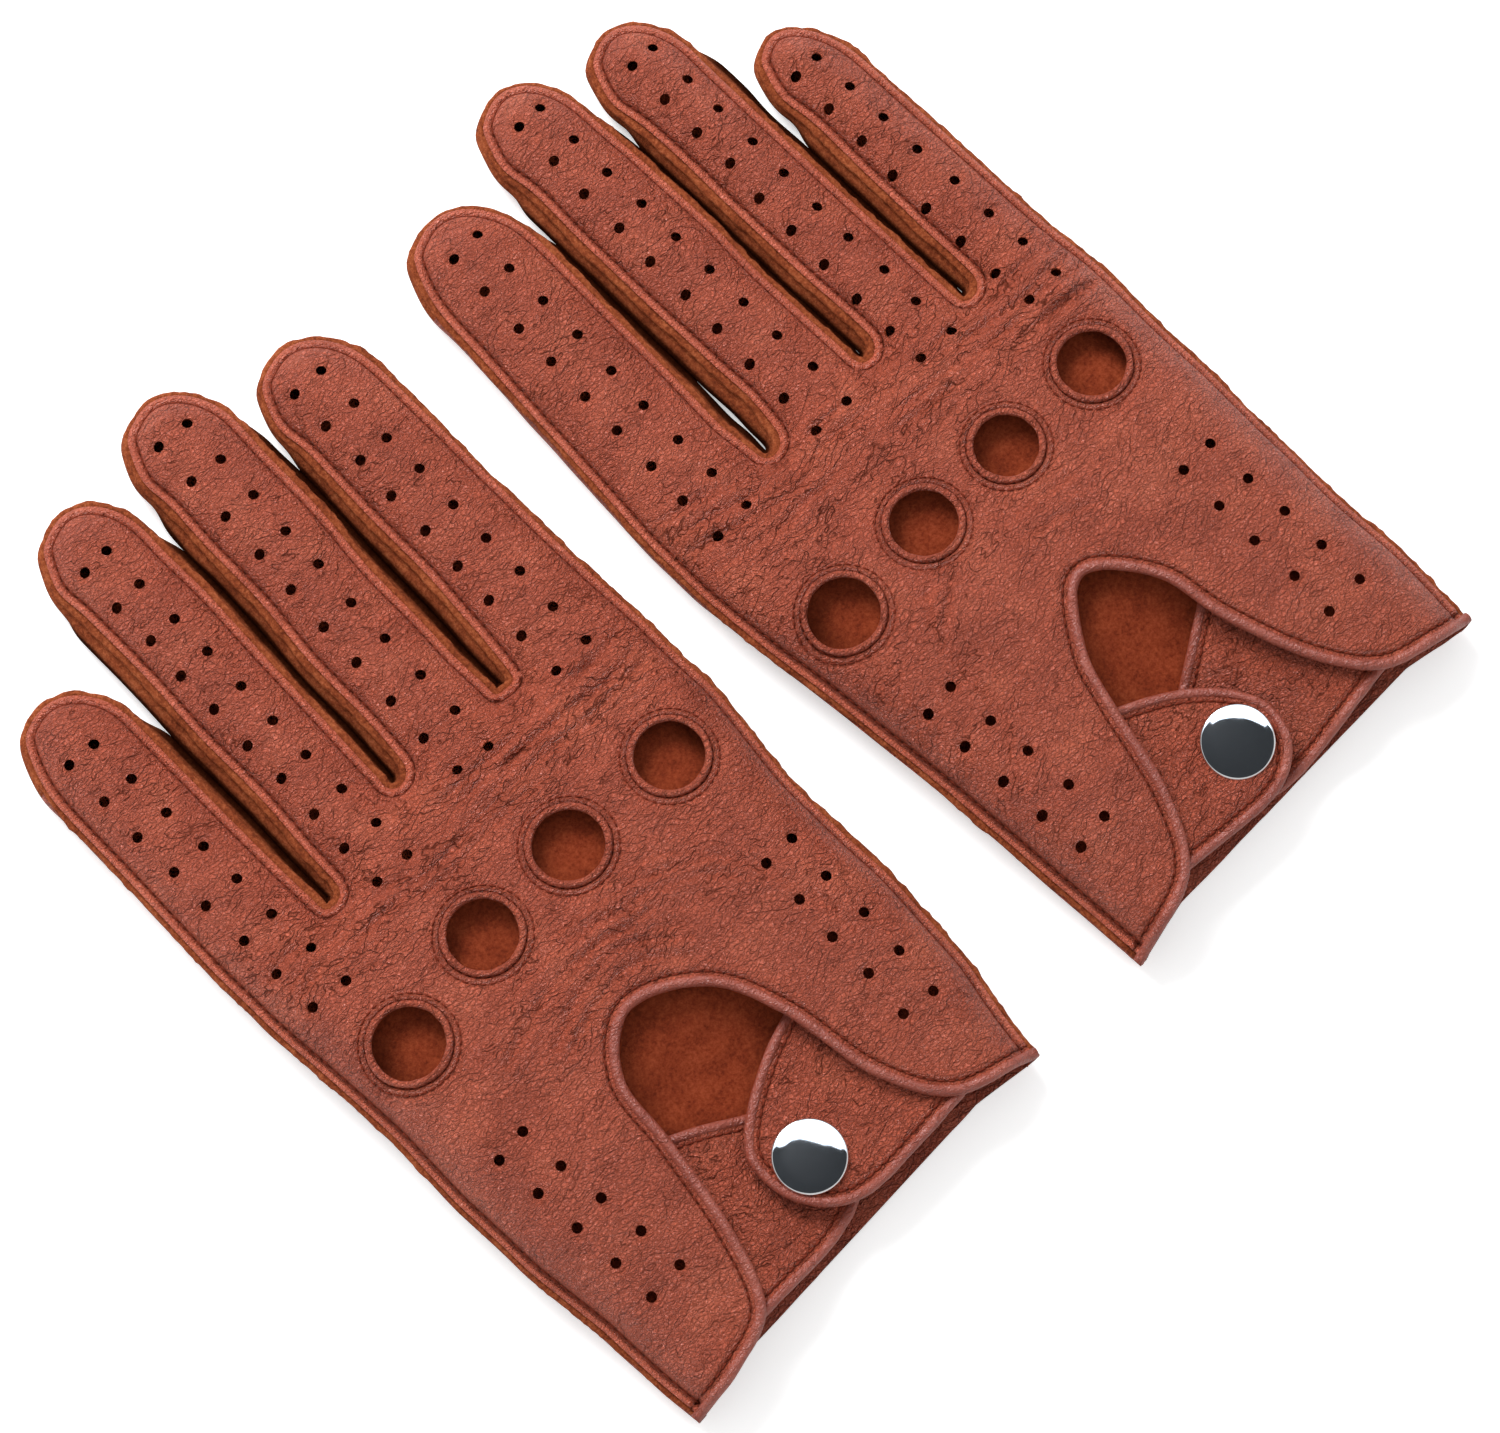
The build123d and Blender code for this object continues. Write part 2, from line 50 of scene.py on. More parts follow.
# Each glove is drawn in its own plan: +x is the thumb side, +y runs to the fingertips, millimetres.
# The right glove is drawn as a left one and mirrored on its way into the frame.
# fingers: name, hinge y, root x, root width, end x, end width, end y, tip y
GLOVES = {
    "left": {
        "side": 1.0,
        "yaw": -1.5,
        "hem_rise": 2.6,
        "cap_tilt": (0.0, 0.0),
        "origin": (-67.616, -3.939),
        "fingers": [
            ("little", 18.0, -34.9, 26.4, -35.9, 24.8, 67.0, 84.0),
            ("ring", 27.0, -8.1, 24.6, -8.3, 25.2, 94.0, 111.0),
            ("middle", 28.0, 18.2, 26.2, 19.7, 26.0, 99.0, 117.0),
            ("index", 27.0, 48.5, 29.0, 47.3, 26.6, 89.0, 106.5),
        ],
        "webs": [(-20.9, 12.5), (4.7, 22.0), (32.7, 21.0)],
        "little_side": [(-37.0, -109.3), (-38.3, -100), (-39.6, -84), (-42.6, -66), (-43.8, -48),
                        (-43.9, -30), (-45.6, -10), (-47.4, 4)],
        "thumb_side": [(64.0, 14), (64.4, -4), (62.4, -30), (63.5, -55), (62.6, -80), (60.0, -102.6)],
        "opening": [(-36.6, -109.3), (-25.0, -107.8), (-13.0, -102.6), (-7.5, -87.5), (-4.6, -67.5),
                    (-3.0, -52.0), (7.0, -43.3), (21.0, -50.0), (28.0, -64.0), (32.5, -84.0),
                    (41.8, -98.0), (59.6, -102.8)],
        "knuckles": [(-28.7, -19.0, 7.3), (-3.9, -12.8, 7.2), (20.2, -11.1, 7.3), (46.7, -11.4, 7.1)],
        "finger_holes": [
            ((-40.1, 68.7), (-33.5, 68.7), (-37.6, -0.8), (-29.3, -0.8), 8),
            ((-11.8, 96.5), (-5.6, 96.5), (-11.2, 9.5), (-3.6, 9.5), 10),
            ((16.3, 106.0), (23.3, 106.0), (14.8, 15.3), (22.6, 15.3), 10),
            ((43.8, 96.0), (50.9, 96.0), (42.6, 17.6), (51.4, 17.6), 9),
        ],
        "hand_holes": [((-31.0, -47.8), (-24.2, -46.8), (-27.2, -86.3), (-19.5, -85.5), 5),
                       ((45.6, -40.0), (53.0, -39.5), (45.2, -79.5), (52.7, -80.0), 5)],
        "snap": (13.0, -87.2),
        "snap_tab": [(30.5, -63.0), (20.7, -66.7), (10.7, -72.5), (4.6, -78.5), (3.6, -85.2),
                     (5.6, -92.0), (10.6, -97.6), (18.0, -100.2), (30.0, -99.8), (46.0, -98.4)],
        "snap_fold": ((24.2, -66.6), (33.0, -99.0)),
        "stud_tab": [(-7.5, -64.2), (9.0, -72.0), (20.0, -79.0), (24.0, -87.5), (18.0, -97.0),
                     (6.0, -102.0), (-16.0, -103.6)],
        "stud_fold": ((-1.0, -68.0), (-6.5, -101.0)),
        "thumb": (49.0, -54.0, 26.0),
        "creases": [
            ([(-46, -2), (-28, 3), (-8, 4), (14, 5), (40, 4), (62, 2)], 0.55),
            ([(-44, 4), (-22, 8), (0, 7), (22, 8), (50, 9), (63, 12)], 0.75),
            ([(-10, 11), (8, 12), (30, 12), (48, 9)], 0.5),
            ([(-18, -32), (-4, -28), (10, -27), (24, -30)], 0.45),
            ([(-8, -40), (2, -35), (14, -35), (25, -42)], 0.5),
            ([(20, -26), (34, -31), (44, -42), (50, -58)], 0.35),
        ],
    },
    "right": {
        "side": -1.0,
        "yaw": 1.5,
        "hem_rise": 3.0,
        "cap_tilt": (-6.0, 6.0),
        "origin": (52.084, -7.399),
        "fingers": [
            ("little", 18.0, -50.5, 22.6, -50.9, 21.4, 70.0, 87.0),
            ("ring", 26.0, -26.25, 22.7, -27.5, 23.4, 94.0, 111.5),
            ("middle", 28.0, -1.25, 25.5, -2.2, 25.3, 100.0, 118.0),
            ("index", 27.0, 30.15, 29.8, 26.0, 27.6, 91.0, 108.5),
        ],
        "webs": [(-38.4, 16.5), (-14.5, 22.5), (13.4, 22.5)],
        "little_side": [(-58.6, -101.4), (-59.4, -92), (-59.7, -80), (-59.3, -64), (-59.6, -46),
                        (-60.6, -28), (-61.3, -10), (-62.0, 4)],
        "thumb_side": [(45.8, 12), (44.8, -4), (42.9, -28), (40.6, -52), (39.6, -78), (38.4, -101.2)],
        "opening": [(-58.4, -101.4), (-50.0, -100.3), (-37.0, -96.0), (-28.2, -84.0), (-21.8, -66.0),
                    (-19.0, -51.5), (-9.0, -40.8), (1.2, -51.0), (5.5, -62.5), (11.0, -82.5),
                    (20.0, -96.4), (38.0, -101.4)],
        "knuckles": [(-42.9, -11.9, 7.0), (-18.4, -11.4, 6.6), (4.6, -10.6, 7.0), (28.9, -11.9, 7.3)],
        "finger_holes": [
            ((-54.0, 74.5), (-47.8, 74.5), (-53.2, 6.7), (-44.8, 6.7), 8),
            ((-32.2, 100.0), (-26.4, 100.0), (-29.4, 14.0), (-20.8, 14.0), 10),
            ((-6.8, 107.3), (-0.9, 107.3), (-4.6, 19.0), (4.3, 19.0), 10),
            ((21.6, 97.2), (29.0, 97.2), (25.6, 18.0), (34.0, 18.0), 9),
        ],
        "hand_holes": [((-46.7, -40.3), (-38.8, -40.3), (-46.8, -80.7), (-38.0, -80.7), 5),
                       ((25.7, -37.7), (32.5, -38.0), (23.3, -77.0), (30.8, -77.5), 5)],
        "snap": (-6.2, -85.2),
        "snap_tab": [(8.0, -61.8), (-4.0, -68.3), (-11.2, -74.5), (-15.4, -81.0), (-16.2, -86.0),
                     (-14.6, -91.5), (-10.0, -95.7), (-3.0, -97.6), (8.0, -96.8), (25.0, -94.6)],
        "snap_fold": ((3.0, -64.0), (12.0, -96.7)),
        "stud_tab": [(-23.5, -59.6), (-6.5, -70.0), (2.5, -77.0), (5.5, -85.5), (1.0, -93.5),
                     (-10.0, -98.0), (-40.0, -95.6)],
        "stud_fold": ((-17.4, -64.4), (-28.4, -95.9)),
        "thumb": (29.0, -54.0, 22.0),
        "creases": [
            ([(-60, 3), (-40, 5), (-20, 8), (0, 10), (22, 12), (44, 18)], 0.75),
            ([(-58, 8), (-34, 10), (-14, 12), (6, 14), (26, 17), (44, 23)], 0.7),
            ([(-50, -1), (-26, 2), (-4, 4), (18, 6), (40, 10)], 0.45),
            ([(12, 17), (26, 21), (43, 27)], 0.5),
            ([(-22, -30), (-8, -26), (8, -22), (18, -20)], 0.35),
            ([(10, -22), (20, -32), (22, -45), (30, -58)], 0.45),
            ([(30, -24), (36, -36), (40, -50)], 0.5),
        ],
    },
}

LEATHER = 0.95
BACK_GRID = 0.72
PALM_GRID = 1.35
# threads of the outseam: length, gap and radius
SEAM_STITCH = (1.7, 0.65, 0.17)

# Heights along a glove, one value for each y: the seam above the table, the crown above the seam
# and the underside of the palm above the table
PROFILE_Y = np.array([-112.0, -90.0, -65.0, -30.0, -5.0, 10.0, 24.0, 120.0])
SEAM_Z = np.array([5.6, 6.6, 8.2, 8.8, 8.4, 7.8, 7.2, 7.2])
CROWN = np.array([6.4, 7.4, 8.0, 8.2, 7.0, 5.2, 4.2, 4.2])
PALM_Z = np.array([1.0, 1.6, 5.9, 6.1, 5.4, 2.4, 0.2, 0.2])


# ---------------------------------------------------------------- plan geometry

def curve_through(points, spacing):
    """Smooth open path through the points, at an even spacing."""
    p = np.array(points, float)
    p = np.vstack([2 * p[0] - p[1], p, 2 * p[-1] - p[-2]])
    out = []
    t = np.linspace(0, 1, 12, endpoint=False)[:, None]
    for a, b, c, d in zip(p[:-3], p[1:-2], p[2:-1], p[3:]):
        out.append(0.5 * (2 * b + (c - a) * t + (2 * a - 5 * b + 4 * c - d) * t**2
                          + (3 * b - a - 3 * c + d) * t**3))
    out.append(p[-2][None])
    return even(np.vstack(out), spacing)


def even(path, spacing):
    """Open path resampled at an even spacing, measured in plan."""
    step = np.hypot(*np.diff(path[:, :2], axis=0).T)
    run = np.concatenate([[0], np.cumsum(step)])
    count = max(2, int(round(run[-1] / spacing)) + 1)
    at = np.linspace(0, run[-1], count)
    return np.stack([np.interp(at, run, path[:, k]) for k in range(path.shape[1])], -1)


def soften(values, passes):
    """Open path or profile evened out, ends kept."""
    out = np.array(values, float)
    for _ in range(passes):
        out[1:-1] = 0.25 * out[:-2] + 0.5 * out[1:-1] + 0.25 * out[2:]
    return out


def side_normals(path):
    """Unit normals on the right-hand side of an open path."""
    d = np.gradient(path, axis=0)
    d /= np.linalg.norm(d, axis=1, keepdims=True) + 1e-9
    return np.stack([d[:, 1], -d[:, 0]], -1)


def nearest(points, path, closed=False):
    """Distance from each point to an evenly spaced path."""
    p = np.vstack([path, path[:1]]) if closed else np.asarray(path)
    tree = KDTree(len(p))
    for k, (x, y) in enumerate(p):
        tree.insert((x, y, 0.0), k)
    tree.balance()
    index = np.array([tree.find((x, y, 0.0))[1] for x, y in points], int)
    best = np.full(len(points), 1e9)
    for step in (-1, 0):
        first = (index + step) % (len(p) - 1) if closed else np.clip(index + step, 0, len(p) - 2)
        a = p[first]
        ab = p[first + 1] - a
        rel = points - a
        t = np.clip((rel * ab).sum(-1) / ((ab**2).sum(-1) + 1e-12), 0, 1)
        best = np.minimum(best, np.linalg.norm(rel - t[:, None] * ab, axis=1))
    return best


def inside(points, polygon):
    """True for points inside a closed polygon."""
    x, y = points[:, 0], points[:, 1]
    hit = np.zeros(len(points), bool)
    x0, y0 = polygon[-1]
    for x1, y1 in polygon:
        crosses = (y1 > y) != (y0 > y)
        if y1 != y0:
            hit ^= crosses & (x < (x0 - x1) * (y - y1) / (y0 - y1) + x1)
        x0, y0 = x1, y1
    return hit


def value_noise(x, y, seed):
    """Smooth noise from 0 to 1 with a feature size of one unit."""
    ix, iy = np.floor(x), np.floor(y)
    fx, fy = x - ix, y - iy
    fx = fx * fx * (3 - 2 * fx)
    fy = fy * fy * (3 - 2 * fy)

    def corner(dx, dy):
        n = np.sin((ix + dx) * 127.1 + (iy + dy) * 311.7 + seed * 74.7) * 43758.5453
        return n - np.floor(n)

    low = corner(0, 0) * (1 - fx) + corner(1, 0) * fx
    high = corner(0, 1) * (1 - fx) + corner(1, 1) * fx
    return low * (1 - fy) + high * fy


def noise_along(count, feature, seed):
    """Smooth noise from 0 to 1 along a path of so many points."""
    run = np.arange(count) / feature
    return value_noise(run, run * 0.0, seed)


def fold_noise(x, y, seed):
    """Sharp-bottomed wrinkles from 0 to 1."""
    ridge = 1 - np.abs(2 * value_noise(x, y, seed) - 1)
    return ridge**3


def bell(x, middle, width):
    """1 at the middle, falling off smoothly to both sides."""
    return np.exp(-((x - middle) / width)**2)


def glove_outline(glove):
    """Silhouette of a glove from the little side wrist round the fingers to the thumb side wrist.

    Returns the path and, per point, 1 where a gusset joins and 0 where back meets palm."""
    parts = [(np.array(glove["little_side"], float), 0.0)]
    for k, (name, hinge, root_x, root_w, end_x, end_w, end_y, tip_y) in enumerate(glove["fingers"]):
        rise = 7.0 / (end_y - hinge)
        left = np.array([(root_x - root_w / 2, hinge), (end_x - end_w / 2, end_y)])
        right = np.array([(root_x + root_w / 2, hinge), (end_x + end_w / 2, end_y)])
        if k > 0:
            left[0] += rise * (left[1] - left[0])
        if k < 3:
            right[0] += rise * (right[1] - right[0])
        right = right[::-1]
        angle = np.radians(np.linspace(172, 8, 33))
        tuck = 1 + 0.055 * bell(np.degrees(angle), 90 + glove["side"] * 38, 11)
        tip = np.stack([end_x + tuck * end_w / 2 * np.cos(angle),
                        end_y + tuck * (tip_y - end_y) * np.sin(angle)], -1)
        parts.append((even(left, 4.0), 0.0 if k == 0 else 1.0))
        parts.append((tip, 0.35))
        parts.append((even(right, 4.0), 0.0 if k == 3 else 1.0))
        if k < 3:
            x, y = glove["webs"][k]
            parts.append((np.array([(x - 0.3, y + 1.2), (x, y), (x + 0.3, y + 1.2)]), 1.0))
    parts.append((np.array(glove["thumb_side"], float), 0.0))
    path = np.vstack([p for p, kind in parts])
    kinds = np.concatenate([np.full(len(p), kind) for p, kind in parts])
    stacked = even(np.column_stack([path, kinds]), 1.0)
    line = soften(stacked[:, :2], 3)
    kinds = soften(stacked[:, 2], 8)
    wobble = noise_along(len(line), 17.0, glove["side"] + 3.0) - 0.5
    run = np.arange(len(line)) / 20
    beyond_wrist = np.clip(run, 0, 1) * np.clip(run[::-1], 0, 1)
    line += side_normals(line) * (0.8 * wobble * beyond_wrist)[:, None]
    return line, kinds


def profile(table, y):
    return np.interp(y, PROFILE_Y, table)


class Glove:
    """Everything measured once for a glove: its paths, holes and height functions."""

    def __init__(self, name):
        self.name = name
        self.data = GLOVES[name]
        self.side = self.data["side"]
        outline, kinds = glove_outline(self.data)
        inward = side_normals(outline)
        facing = -self.side * inward[:, 0]
        inset = 1.1 - 0.25 * facing + kinds * (1.3 - 0.95 * facing)
        self.seam = outline + inward * soften(inset, 6)[:, None]
        self.seam = even(soften(self.seam, 2), 1.0)
        self.seam_kinds = np.interp(np.linspace(0, 1, len(self.seam)), np.linspace(0, 1, len(kinds)), kinds)
        self.seam_normals = side_normals(self.seam)
        self.facing = -self.side * self.seam_normals[:, 0]
        self.opening = curve_through(self.data["opening"], 1.0)
        self.opening_out = -side_normals(self.opening)
        self.edge = self.opening + self.opening_out * 1.1
        self.edge_z = self.back_height(self.seam, np.zeros(len(self.seam)), False)
        self.cuts = self.web_cuts()

    def gap_across(self):
        """Distance from each seam point to the seam across the gap between two fingers."""
        seam = self.seam
        apart = np.linalg.norm(seam[:, None] - seam[None], axis=2)
        index = np.arange(len(seam))
        apart[np.abs(index[:, None] - index[None]) < 7] = 99.0
        towards = ((seam[None] - seam[:, None]) * -self.seam_normals[:, None]).sum(-1)
        apart[towards < 0.3 * apart] = 99.0
        return soften(np.minimum(apart.min(1), 12.0), 4)

    def seam_distance(self, xy):
        return nearest(xy, self.seam)

    def crown(self, xy, d):
        """Back surface without its small features."""
        y = xy[:, 1]
        height = profile(CROWN, y)
        rise = np.clip((d - 1.5) / 11.0, 0, 1)
        dome = np.sqrt(np.clip(1 - (1 - rise)**2, 0, 1))
        swell = value_noise(xy[:, 0] / 23 + 5, y / 23, 11 + self.side) - 0.5
        return profile(SEAM_Z, y) + height * dome + 1.1 * swell * rise

    def back_height(self, xy, d, detail=True):
        z = self.crown(xy, d)
        rim = bell(d, 0.75, 0.6)
        groove = bell(d, 1.75, 0.34)
        z = z + 0.6 * rim - 0.55 * groove
        opening = nearest(xy, self.opening)
        z = z - 0.45 * bell(opening, 2.9, 0.4) + 0.25 * bell(opening, 3.9, 0.6)
        for x0, y0, radius in self.data["knuckles"]:
            r = np.hypot(xy[:, 0] - x0, xy[:, 1] - y0)
            beyond = r - radius
            z = z - 0.5 * bell(beyond, 1.35, 0.35) - 0.4 * bell(beyond, 2.75, 0.4)
            z = z + 0.35 * bell(beyond, 2.05, 0.45) * (r < 15.5)
        if detail:
            z = z + self.wrinkles(xy, d, opening)
        return z

    def on_back(self, path, lift=0.0):
        """3-D path over the back of the glove."""
        return np.column_stack([path, self.back_height(path, self.seam_distance(path), False) + lift])

    def wrinkles(self, xy, d, opening):
        x, y = xy[:, 0], xy[:, 1]
        s = 7 * self.side
        bend = 3.0 * (value_noise(x / 14, y / 14, s + 1) - 0.5)
        inner = np.clip((d - 2) / 3, 0, 1) * np.clip((opening - 3.5) / 3, 0, 1)
        calm = np.ones(len(x))
        for x0, y0, radius in self.data["knuckles"]:
            r = np.hypot(x - x0, y - y0)
            calm *= np.clip((r - radius - 2.6) / 3, 0, 1)
        # across-glove wrinkles, strongest behind the webs
        band = bell(y, 9, 11)
        across = fold_noise((x + bend) / 22, (y + 1.6 * bend + 0.12 * x) / 2.8, s + 2)
        fine = fold_noise((x + y * 0.4 + bend) / 6.5, (y - x * 0.35 + bend) / 2.0, s + 3)
        crossed = fold_noise((x - y * 0.5 - bend) / 7.0, (y + x * 0.6) / 2.2, s + 4)
        broad = value_noise(x / 8.5, y / 8.5, s + 5) - 0.5
        z = -0.30 * across * (0.25 + band) - 0.07 * fine - 0.07 * crossed + 0.75 * broad
        for path, depth in self.data["creases"]:
            line = curve_through(path, 3.0)
            for k, shift in enumerate((-4.6, -2.2, 0.0, 2.4)):
                jitter = np.stack([1.2 * (value_noise(x / 9, y / 9, s + 6 + k) - 0.5),
                                   shift + 2.6 * (value_noise(x / 14, y / 9, s + 7 + k) - 0.5)], -1)
                q = nearest(xy + jitter, line)
                strength = np.clip(2.2 * value_noise(x / 17 + 7 * k, y / 12, s + 8) - 0.7, 0, 1)
                z = z + strength * depth * (0.60 * bell(q, 2.0, 1.3) - 0.95 * bell(q, 0, 0.8))
        return z * inner * (0.35 + 0.65 * calm)

    def crease(self, xy):
        """How strongly the skin is creased, 0 to 1, for the leather material."""
        x, y = xy[:, 0], xy[:, 1]
        worn = bell(y, 8, 13)
        for path, depth in self.data["creases"]:
            worn = np.maximum(worn, depth * 1.3 * bell(nearest(xy, curve_through(path, 3.0)), 0, 6))
        for name, hinge, root_x, root_w, end_x, end_w, end_y, tip_y in self.data["fingers"]:
            joint = hinge + 0.52 * (tip_y - hinge)
            on_finger = np.exp(-((x - end_x) / end_w)**4)
            worn = np.maximum(worn, 0.55 * on_finger * bell(y, joint, 14))
        return np.clip(worn, 0, 1)

    def groove_shade(self, xy):
        """1 in the stitched groove lines beside the edges and round the holes: the mask of the painted shade
        there.
        """
        depth = bell(self.seam_distance(xy), 1.75, 0.34)
        depth = np.maximum(depth, bell(nearest(xy, self.opening), 2.9, 0.32))
        for x0, y0, radius in self.data["knuckles"]:
            r = np.hypot(xy[:, 0] - x0, xy[:, 1] - y0) - radius
            depth = np.maximum(depth, bell(r, 1.35, 0.3))
            depth = np.maximum(depth, 0.6 * bell(r, 2.75, 0.3))
        return depth

    def web_cuts(self):
        """Ends of the cuts from web to web where the fingers leave the hand."""
        webs = []
        for x, y in self.data["webs"]:
            k = np.argmin(np.hypot(self.seam[:, 0] - x, self.seam[:, 1] - (y - 2.6)))
            webs.append(self.seam[k])
        x, y = self.seam.T
        first = np.argmin(np.abs(y - (webs[0][1] - 2)) + 1e3 * (x > webs[0][0] - 12))
        last = np.argmin(np.abs(y - (webs[2][1] - 1)) + 1e3 * (x < webs[2][0] + 12))
        return [self.seam[first]] + webs + [self.seam[last]]

    def cut_lines(self):
        return [even(np.array(pair), 1.2) for pair in zip(self.cuts[:-1], self.cuts[1:])]

    def label(self, xy):
        """0 on the hand, 1 to 4 on the little, ring, middle and index fingers."""
        corners = np.array(self.cuts)
        corners[0, 0] -= 12
        corners[-1, 0] += 12
        limit = np.interp(xy[:, 0], corners[:, 0], corners[:, 1])
        finger = np.clip(np.searchsorted(corners[1:-1, 0], xy[:, 0]) + 1, 1, 4)
        return np.where(xy[:, 1] > limit, finger, 0)

    def rotated(self, vectors):
        """Plan directions turned, and mirrored for the right glove, into the frame."""
        v = np.array(vectors, float)
        a = math.radians(self.data["yaw"])
        x = v[..., 0] * self.side
        y = v[..., 1]
        return np.stack([math.cos(a) * x - math.sin(a) * y, math.sin(a) * x + math.cos(a) * y, v[..., 2]], -1)

    def to_row(self, points):
        """Plan millimetres to frame metres."""
        return (self.rotated(points) + (*self.data["origin"], 0.0)) * MM


# ---------------------------------------------------------------- materials

class Wire:
    """Output of a shader node. Sums, differences and products of wires are nodes of their own."""

    def __init__(self, node, output):
        self.tree = node.id_data
        self.socket = node.outputs[output]

    def __add__(self, other):
        return add_math("ADD", self, other)

    def __mul__(self, other):
        return add_math("MULTIPLY", self, other)

    def __sub__(self, other):
        return add_math("SUBTRACT", self, other)

    def __rsub__(self, other):
        return add_math("SUBTRACT", other, self)


def feed(tree, socket, value):
    """Give a socket a number, a colour or the output of another node."""
    if isinstance(value, Wire):
        tree.links.new(value.socket, socket)
    elif isinstance(value, tuple) and len(value) < len(socket.default_value):
        socket.default_value = (*value, 1.0)
    else:
        socket.default_value = value


def add_node(tree, kind, output, settings=None, **inputs):
    """New shader node with its inputs fed by name, as a wire from one of its outputs."""
    node = tree.nodes.new("ShaderNode" + kind)
    for key, value in (settings or {}).items():
        setattr(node, key, value)
    for key, value in inputs.items():
        feed(tree, node.inputs[key], value)
    return Wire(node, output)


def add_math(kind, a, b=0.0):
    tree = a.tree if isinstance(a, Wire) else b.tree
    node = tree.nodes.new("ShaderNodeMath")
    node.operation = kind
    feed(tree, node.inputs[0], a)
    feed(tree, node.inputs[1], b)
    return Wire(node, 0)


def larger(a, b):
    return add_math("MAXIMUM", a, b)


def smaller(a, b):
    return add_math("MINIMUM", a, b)


def add_noise(place, scale, detail=3.0, roughness=0.55):
    return add_node(place.tree, "TexNoise", "Fac",
                    Scale=scale, Detail=detail, Roughness=roughness, Vector=place)


def add_ramp(source, stops):
    node = source.tree.nodes.new("ShaderNodeValToRGB")
    while len(node.color_ramp.elements) < len(stops):
        node.color_ramp.elements.new(0.5)
    for element, (position, colour) in zip(node.color_ramp.elements, stops):
        element.position = position
        element.color = (*colour, 1.0)
    feed(source.tree, node.inputs["Fac"], source)
    return Wire(node, "Color")


def add_mix(factor, a, b):
    node = factor.tree.nodes.new("ShaderNodeMix")
    node.data_type = "RGBA"
    for socket, value in zip((node.inputs[0], node.inputs[6], node.inputs[7]), (factor, a, b)):
        feed(factor.tree, socket, value)
    return Wire(node, 2)


def add_bump(height, distance, strength, before=None):
    bump = add_node(height.tree, "Bump", "Normal", Distance=distance, Strength=strength, Height=height)
    if before:
        feed(height.tree, bump.socket.node.inputs["Normal"], before)
    return bump


def turned(place, angle, scale):
    """The place turned about z and scaled, to stretch a noise along one direction."""
    turn = (0, 0, math.radians(angle))
    return add_node(place.tree, "Mapping", "Vector", Rotation=turn, Scale=scale, Vector=place)


def wrinkle_lines(place, angle, spacing, sway, thin, seed):
    """Thin creases about spacing apart, swaying and fading along their length, 1 on a crease."""
    moved = turned(place, angle, (1, 1, 1))
    across = add_node(place.tree, "SeparateXYZ", "Y", Vector=moved)
    swing = add_noise(turned(moved, 0, (0.10, 0.28, 0.2)), 1.0, 2.0, 0.5)
    level = across * (1 / spacing) + swing * sway
    off_line = add_math("ABSOLUTE", add_math("FRACT", level) - 0.5)
    line = larger(1.0 - off_line * thin, 0.0)
    fade = add_noise(turned(moved, seed * 9, (0.10, 0.20, 0.2)), 1.0 + 0.1 * seed, 3.0)
    shown = smaller(larger((fade - 0.39) * 6.0, 0.0), 1.0)
    return line * shown


def cells(place, scale, edge):
    """Pebbles: 1 on their tops, falling to 0 in the creases between them."""
    away = add_node(place.tree, "TexVoronoi", "Distance", {"feature": "DISTANCE_TO_EDGE"},
                    Scale=scale, Vector=place)
    return smaller(away * edge, 1.0)


def warped(place, scale, reach):
    """The place pushed about by a noise, so what follows doesn't run straight."""
    wobble = add_node(place.tree, "TexNoise", "Color", Scale=scale, Detail=1.0, Vector=place)
    node = place.tree.nodes.new("ShaderNodeVectorMath")
    node.operation = "MULTIPLY_ADD"
    for socket, value in zip(node.inputs, (wobble, (reach, reach, reach), place)):
        feed(place.tree, socket, value)
    return Wire(node, 0)


class Paint:
    """A new material with its shader, and the rest place of each point in millimetres."""

    def __init__(self, name):
        self.material = bpy.data.materials.new(name)
        self.material.use_nodes = True
        self.tree = self.material.node_tree
        self.shader = self.tree.nodes["Principled BSDF"]
        self.place = self.named("rest_mm", "Vector")

    def named(self, attribute, output="Fac"):
        return add_node(self.tree, "Attribute", output, {"attribute_name": attribute})

    def set(self, **inputs):
        """Set inputs of the shader, their names written with _ for each space."""
        for key, value in inputs.items():
            feed(self.tree, self.shader.inputs[key.replace("_", " ")], value)


